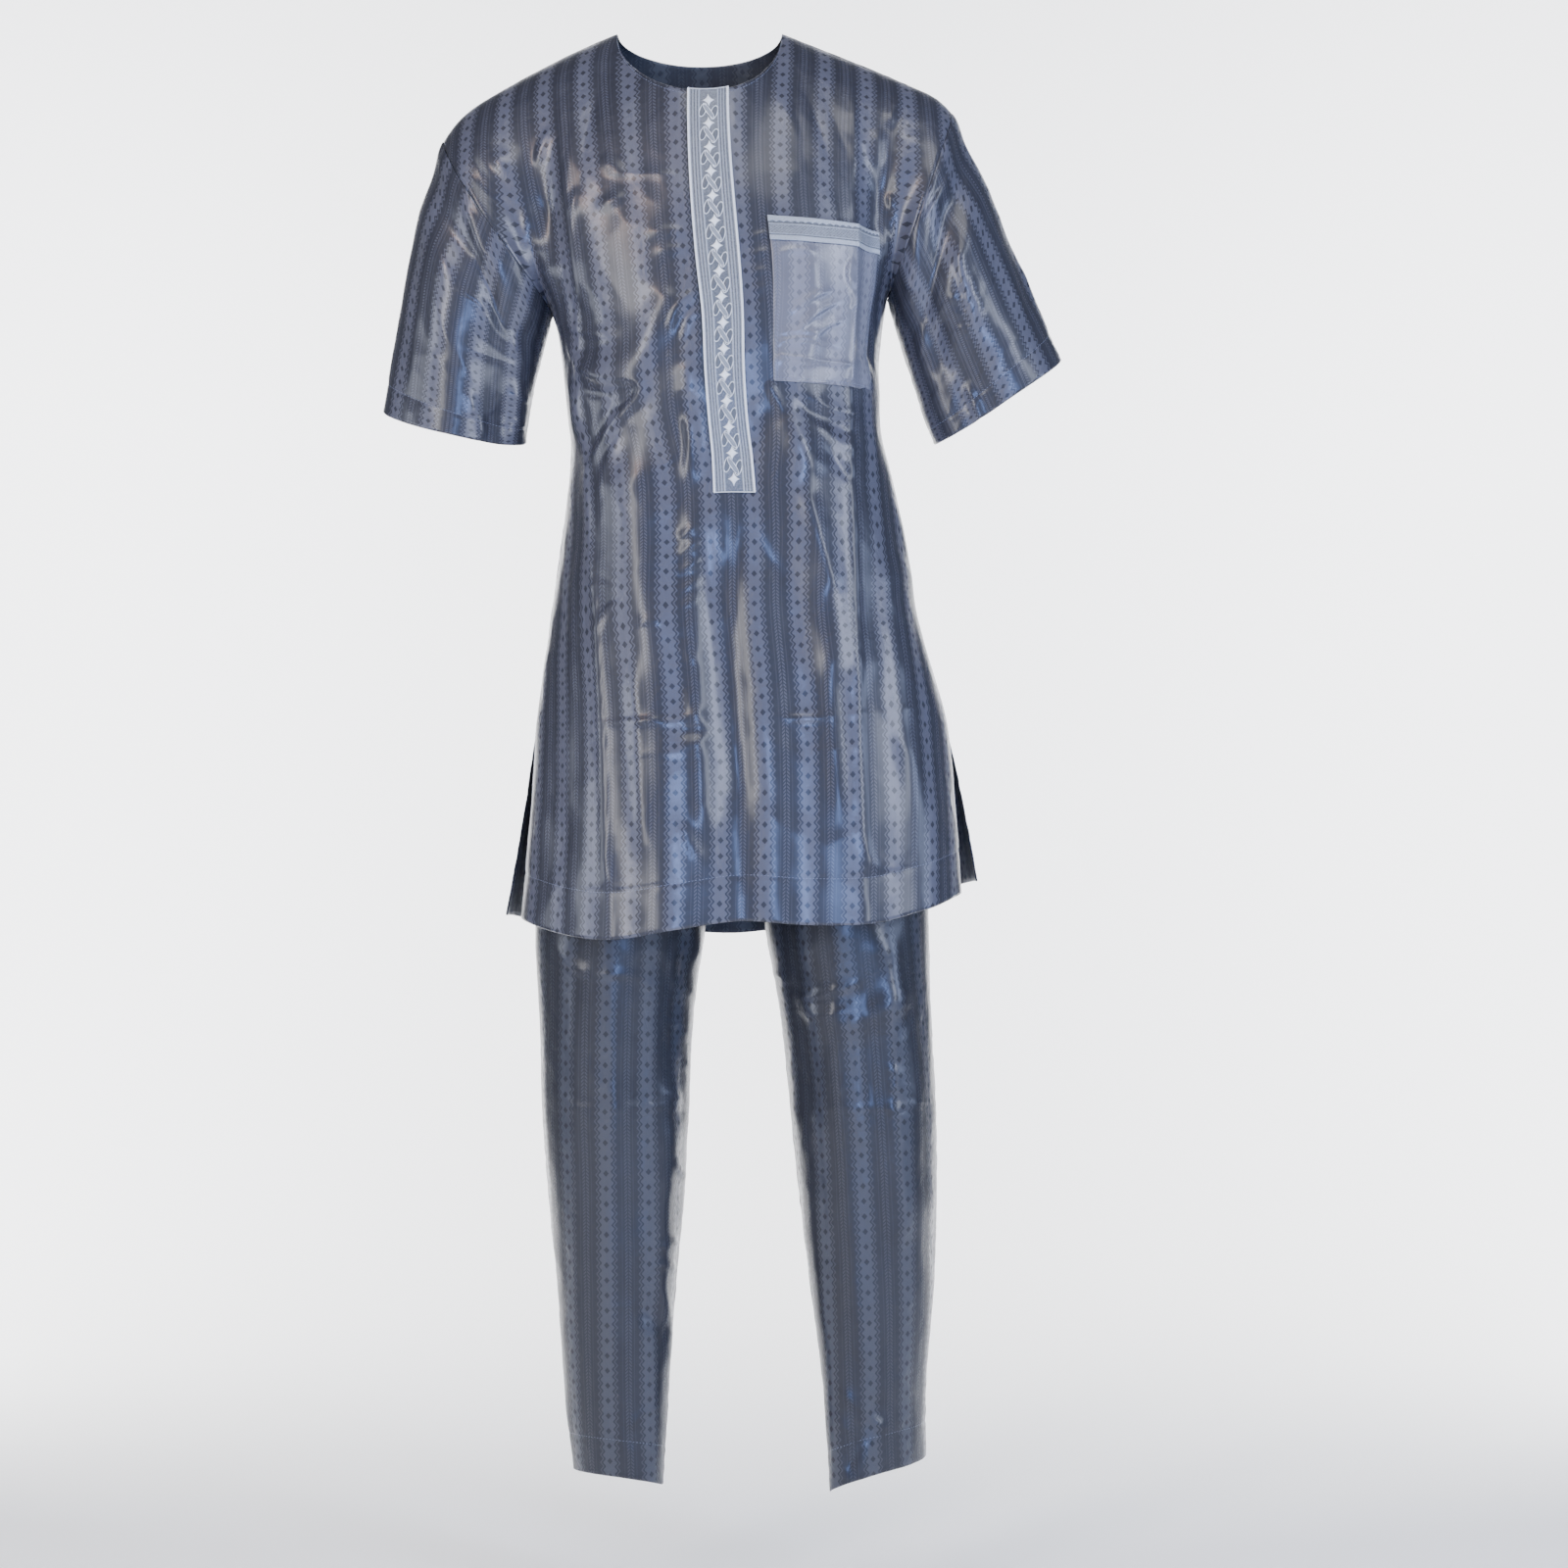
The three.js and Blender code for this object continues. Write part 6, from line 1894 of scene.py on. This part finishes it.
@dataclass
class Trousers:
    """The trousers: two fronts and two backs, and a gathered waistband that the tunic covers."""

    cloth: float = 1.0
    hem: float = 1.9
    hem_depth: float = 38.0
    crotch: tuple[float, float, float] = (38, 2, -735)
    forward_from: float = -1100.0
    waist: float = -425.0
    rise_curve: float = 78.0
    band_height: float = 40.0
    band_wall: float = 2.4
    # Lengths that the finer relief is measured by: hem to crotch, and across a panel
    leg_length: float = 735.0
    panel_width: float = 230.0
    # Width that the folds' places across a panel are given in
    fold_width: float = 220.0
    # z, left, right, front, back
    seat: tuple = (
        (-425, -118, 172, -90, 84),
        (-475, -121, 181, -93, 88),
        (-530, -128, 194, -97, 96),
        (-586, -137, 206, -101, 110),
        (-658, -149, 219, -104, 117),
        (-735, -160, 226, -102, 110),
    )

    def plain(self, side: Side, face: Face, a: Array, h: Array) -> Array:
        """One face of a leg and its half of the seat, without folds.

        The share a runs from the side seam to the inner seam, and h from the hem (0) past the crotch (1)
        to the waist (2). A row of the leg is a cubic curve between the two seams. In the seat the inner
        end comes forward from the crotch to the middle seam, on a quarter of an ellipse.
        """
        a, h = np.broadcast_arrays(np.asarray(a, float), np.asarray(h, float))
        leg, column = LEGS[side], 2 if face is Face.FRONT else 3
        outward = side is Side.LEFT
        rise = leg.rise * np.sin(math.pi * a) if face is Face.FRONT else 0
        crotch_x, crotch_y, crotch_z = self.crotch
        low = mix(leg.hem_outer, leg.hem_inner, a) + rise
        share = np.minimum(h, 1)
        z = mix(low, crotch_z, share)
        row = through(leg.cut, z)
        drop = (self.forward_from - z) / (self.forward_from - leg.hem_inner)
        forward = leg.forward * smooth(drop)
        outer = stack(row[..., 0], forward, z)
        inner = stack(row[..., 1], mix(-forward, crotch_y, share), z)
        lift = stack(0, 4 / 3 * row[..., column], 0)
        lower = bezier(outer, outer + lift, inner + lift, inner, a)
        lower[..., 2] = z

        z = mix(crotch_z, self.waist, np.maximum(h, 1) - 1)
        row = through(self.seat, z)
        climb = np.clip((z - crotch_z) / self.rise_curve, 0, 1)
        turned = np.sqrt(1 - (1 - climb) ** 2)
        middle = mix(crotch_x, (row[..., 0] + row[..., 1]) / 2, smooth(h - 1))
        depth = row[..., column]
        outer_x = row[..., 0] if outward else row[..., 1]
        quarter = 0.5523
        near_x = middle - turned * quarter * (middle - outer_x)
        upper = bezier(
            stack(outer_x, 0, z),
            stack(outer_x, mix(4 / 3, quarter, turned) * depth, z),
            stack(near_x, mix(4 / 3 * depth, depth, turned), z),
            stack(middle, mix(crotch_y, depth, turned), z),
            a,
        )
        return np.where((h <= 1)[..., None], lower, upper)

    def folded(self, side: Side, face: Face, a: Array, h: Array) -> Array:
        """One panel with its folds, puckers and hem line, moved out along the plain cloth's normals."""
        a, h = np.broadcast_arrays(np.asarray(a, float), np.asarray(h, float))
        turn = side.sign * face.value
        points, normals = facing(lambda p, q: self.plain(side, face, p, q), a, h, turn)
        leg, z = LEGS[side], points[..., 2]
        held = 1 - np.abs(2 * a - 1) ** 8
        across = a * self.fold_width
        if face is Face.FRONT:
            height = held * fold_height(leg.front_folds, across, z)
            fine = fold_height(leg.front_detail, *VIEW.place(points))
        else:
            height = held * fold_height(leg.back_folds, across, z)
            fine = fold_height(leg.back_detail, across, z)
        seed = 80 + (10 if side is Side.LEFT else 20) + (5 if face is Face.FRONT else 0)
        fine = fine + LEG_LIE.height(across, z, seed)
        fine = fine * (1 - np.abs(2 * a - 1) ** 16) * smooth((1.9 - h) * 4)
        to_seam = np.minimum(a, 1 - a) * self.panel_width
        fine = fine + 0.45 * np.exp(-to_seam / 9) * uneven(z, across * 0.2, 9, seed + 2)
        above = h * self.leg_length - self.hem_depth
        fine = fine + sewn_line(above, 0.6, 0.35, uneven(across, z * 0.3, 8, seed + 3))
        return points + normals * (height + fine)[..., None]

    def build_panel(
        self, side: Side, face: Face, finish: list[bpy.types.Material], thread: bpy.types.Material
    ) -> list[bpy.types.Object]:
        """Builds one panel and the stitching of its hem.

        Args:
            side: which leg.
            face: its front or its back.
            finish: the cloth's right and wrong side.
            thread: the sewing thread.

        Returns:
            The panel and its stitching.
        """
        edge = 0.5 / self.panel_width
        a = np.linspace(edge, 1 - edge, 63)[None, :]
        climb = np.linspace(0, 1, 17)[1:] ** 2
        turned = 1 + climb * self.rise_curve / (self.waist - self.crotch[2])
        seat = np.linspace(turned[-1], 1.998, 36)[1:]
        h = np.concatenate([np.linspace(0, 1, 201), turned, seat])[:, None]
        points = self.folded(side, face, a, h)
        turn = side.sign * face.value
        normals = normals_of(points, turn)
        middle = a.size // 2
        bare, out = facing(lambda p, q: self.plain(side, face, p, q), a, h, turn)
        lean = np.gradient(bare[:, middle, 0]) / np.gradient(bare[:, middle, 2])
        grain = stack(lean[:, None] * np.ones_like(a), 0, 1.0)
        places = cloth_coordinates(bare, out, grain, middle)
        thick = hem_wall(self.cloth, self.hem, h * self.leg_length - self.hem_depth)
        soup = Soup()
        shell(soup, points, normals, places, np.broadcast_to(thick, points.shape[:2]), turn)
        name = f"trouser_{face.name.lower()}_{side.value}"
        piece = soup.finished(f"{name}_cloth", finish)
        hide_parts(name)
        sewn = Soup()
        along = np.linspace(0.012, 0.988, 160)
        hem = np.full_like(along, self.hem_depth / self.leg_length)
        Stitching().sew(sewn, lambda p, q: self.folded(side, face, p, q), along, hem, turn)
        stitching = sewn.finished(f"{name}_stitching", [thread])
        return [piece, stitching]

    def build_waistband(self, finish: list[bpy.types.Material]) -> bpy.types.Object:
        """Builds the waistband, a ring gathered on elastic: its folds are upright waves of uneven width,
        pressed flat along three rows of sewing."""
        around, up = np.linspace(0.0005, 0.9995, 361)[None, :], np.linspace(0, 1, 25)[:, None]
        row = through(self.seat, self.waist)
        angle = 2 * math.pi * around
        reach = np.sin(angle)
        y = np.where(reach > 0, row[2] * reach, -row[3] * reach)
        x = mix(row[0], row[1], (1 - np.cos(angle)) / 2)
        points = stack(x, y, self.waist + 0.5 + up * self.band_height)
        normals = normals_of(points, 1)
        rows = np.cos(math.pi * up * 4) ** 2
        phase = 2 * math.pi * (around * 74 + 0.35 * uneven(around * 300, up * 0, 20, 130))
        height = (0.35 + 0.65 * (1 - rows)) * 0.8 * np.sin(phase) - 0.6
        points = points + normals * height[..., None]
        places = np.stack(np.broadcast_arrays(around * 460, up * self.band_height), -1)
        soup = Soup()
        shell(soup, points, normals_of(points, 1), places, self.band_wall, 1)
        piece = soup.finished("waistband_cloth", finish)
        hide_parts("waistband")
        return piece


@dataclass
class Studio:
    """A pale floor that curves up behind the suit, soft lights and the camera."""

    floor: float = -1.6
    lens: float = 67.5

    def build_floor(self) -> bpy.types.Object:
        """Builds the floor: level, then a quarter circle, then upright."""
        radius, behind = 1.6, 1.6
        angle = np.linspace(0, math.pi / 2, 24)
        y = np.concatenate([[-7.0, -3.0, 0.0], behind + radius * np.sin(angle), [behind + radius]])
        z = np.concatenate([[0.0, 0.0, 0.0], radius * (1 - np.cos(angle)), [5.5]]) + self.floor
        x = np.linspace(-1.85, 1.9, 9)
        points = stack(x[None, :], y[:, None], z[:, None]) / MM
        soup = Soup()
        soup.add(points, [grid_quads(len(y), len(x), 1)])
        material, _, shader = new_material("pale painted floor")
        values = {
            "Base Color": linear("#f4f4f5"),
            "Roughness": 0.85,
            "Emission Color": linear("#ffffff"),
            "Emission Strength": 0.26,
        }
        set_values(shader, values)
        floor = soup.finished("studio_floor", [material])
        return floor

    def light(self, name: str, place: tuple, aim: tuple, size: tuple, power: float, colour: str) -> None:
        """Adds one soft rectangular light.

        Args:
            name: name of the light.
            place: its position in metres.
            aim: the point that it faces.
            size: its width and height in metres.
            power: its power in watts.
            colour: its colour.
        """
        data = bpy.data.lights.new(name, "AREA")
        data.shape = "RECTANGLE"
        data.size, data.size_y = size
        data.energy = power
        data.color = linear(colour)[:3]
        lamp = bpy.data.objects.new(name, data)
        bpy.context.collection.objects.link(lamp)
        way = np.array(aim, float) - np.array(place, float)
        lamp.location = place
        flat = math.hypot(way[0], way[1])
        lamp.rotation_euler = (math.atan2(flat, -way[2]), 0, math.atan2(-way[0], way[1]))

    def build(self) -> None:
        """Builds the floor, the lights and the camera."""
        self.build_floor()
        middle = (0.03, 0.0, -0.6)
        self.light("left softbox", (-1.7, -2.5, 0.2), middle, (0.6, 2.4), 78, "#f1efef")
        self.light("right softbox", (2.1, -2.3, 0.2), middle, (0.8, 2.4), 90, "#d9e3fa")
        self.light("top softbox", (0.2, -2.0, 2.1), middle, (2.0, 1.0), 52, "#f0efef")
        self.light("low blue light", (0.35, -2.9, -0.8), (0.05, 0.0, -0.7), (0.35, 1.0), 38, "#8fb2ff")
        self.light("left side light", (-2.3, -0.8, -0.55), (0.0, 0.0, -0.6), (0.8, 1.2), 25, "#e0e6f4")
        self.light("right side light", (2.4, -0.8, -0.5), (0.1, 0.0, -0.6), (0.8, 1.2), 30, "#bccffa")
        self.light("warm lamp", (-1.1, -1.7, 0.75), (-0.2, -0.1, -0.2), (0.16, 0.4), 3.5, "#ffb070")
        # The backdrop's lights face away from the suit, so that they don't rim it
        self.light("left backdrop light", (-1.9, 1.0, 0.0), (-1.3, 3.2, -0.5), (0.8, 2.4), 200, "#ffffff")
        self.light("right backdrop light", (2.1, 1.0, 0.0), (1.5, 3.2, -0.5), (0.8, 2.4), 200, "#ffffff")
        world = bpy.data.worlds.new("pale room")
        bpy.context.scene.world = world
        world.use_nodes = True
        background = world.node_tree.nodes["Background"]
        background.inputs[0].default_value = linear("#f1f3f8")
        background.inputs[1].default_value = 0.17
        data = bpy.data.cameras.new("front camera")
        data.lens, data.sensor_width = self.lens, 36.0
        camera = bpy.data.objects.new("front camera", data)
        bpy.context.collection.objects.link(camera)
        camera.location = (VIEW.across * MM, -VIEW.distance * MM, VIEW.up * MM)
        camera.rotation_euler = (math.pi / 2, 0, 0)
        bpy.context.scene.camera = camera


@dataclass(frozen=True)
class Cut:
    """The flat size of one cloth piece: width and length of its rectangle, and its own area."""

    width: float
    length: float
    area: float
    held: str = "hung"


def finishes() -> dict[str, bpy.types.Material]:
    """Builds every material of the suit, by its use."""
    kinds = {
        "front": Damask(shift=-23.0),
        "back": Damask(name="glazed cotton damask of the back", shift=-23.0),
        "sleeve": Damask(name="glazed cotton damask of the sleeves", shift=8.0),
        # The trousers are cut from the same damask as the tunic. Their darker ground and figure are painted
        # shade, for cloth lying lower and in less light.
        "leg": Damask(
            name="glazed cotton damask of the trousers",
            ground="#191b24",
            figure="#333640",
            shift=6.0,
            glaze=0.42,
        ),
        # The pocket is cut from the same damask as the front. Its much lighter ground and figure are a
        # painted highlight, for tilted cloth that catches the light.
        "pocket": Damask(
            name="glazed cotton damask of the pocket", ground="#5b5d69", figure="#70727f", glaze=0.75
        ),
        "wrong": Damask(
            name="wrong side of the damask", ground="#32353f", figure="#42464f", glaze=0.1, roughness=0.6
        ),
        "thread": Thread("spun sewing thread", "#3a4156", "#5a637e"),
        "ground": Thread("silver braid ground", "#3a3f49", "#9299a5", roughness=0.42, metallic=0.15),
        "cord": Thread("white twisted braid cord", "#8d949f", "#e2e6eb", roughness=0.4),
        "leaf": Thread("dark braid yarn", "#484d56", "#767c86", roughness=0.45),
    }
    return {use: kind.material() for use, kind in kinds.items()}


def main() -> None:
    """Builds the suit and its studio, and reports each piece."""
    logging.basicConfig(level=logging.INFO, format="%(name)s: %(message)s")
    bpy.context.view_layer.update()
    Studio().build()
    finish = finishes()
    tunic, trousers = Tunic(), Trousers()
    pieces: list[bpy.types.Object] = []

    panels = {}
    for face, use in ((Face.FRONT, "front"), (Face.BACK, "back")):
        panels[face] = tunic.build_panel(face, [finish[use], finish["wrong"]])
        stitching = tunic.build_stitching(face, finish["thread"])
        pieces += [panels[face], stitching]
    for side in Side:
        sleeve = tunic.build_sleeve(side, [finish["sleeve"], finish["wrong"]])
        stitching = tunic.build_sleeve_stitching(side, finish["thread"])
        pieces += [sleeve, stitching]
    pieces += tunic.build_band(finish)
    pocket, stitching, trim = tunic.build_pocket(finish)
    pieces += [pocket, stitching, trim]

    waistband = trousers.build_waistband([finish["leg"], finish["wrong"]])
    pieces.append(waistband)
    for side in Side:
        for face in Face:
            cloth = [finish["leg"], finish["wrong"]]
            panel, stitching = trousers.build_panel(side, face, cloth, finish["thread"])
            pieces += [panel, stitching]

    for piece in pieces:
        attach(piece, "root")
        LOG.info("%s: %d faces", piece.name, len(piece.data.polygons))


if __name__ == "__main__":
    main()
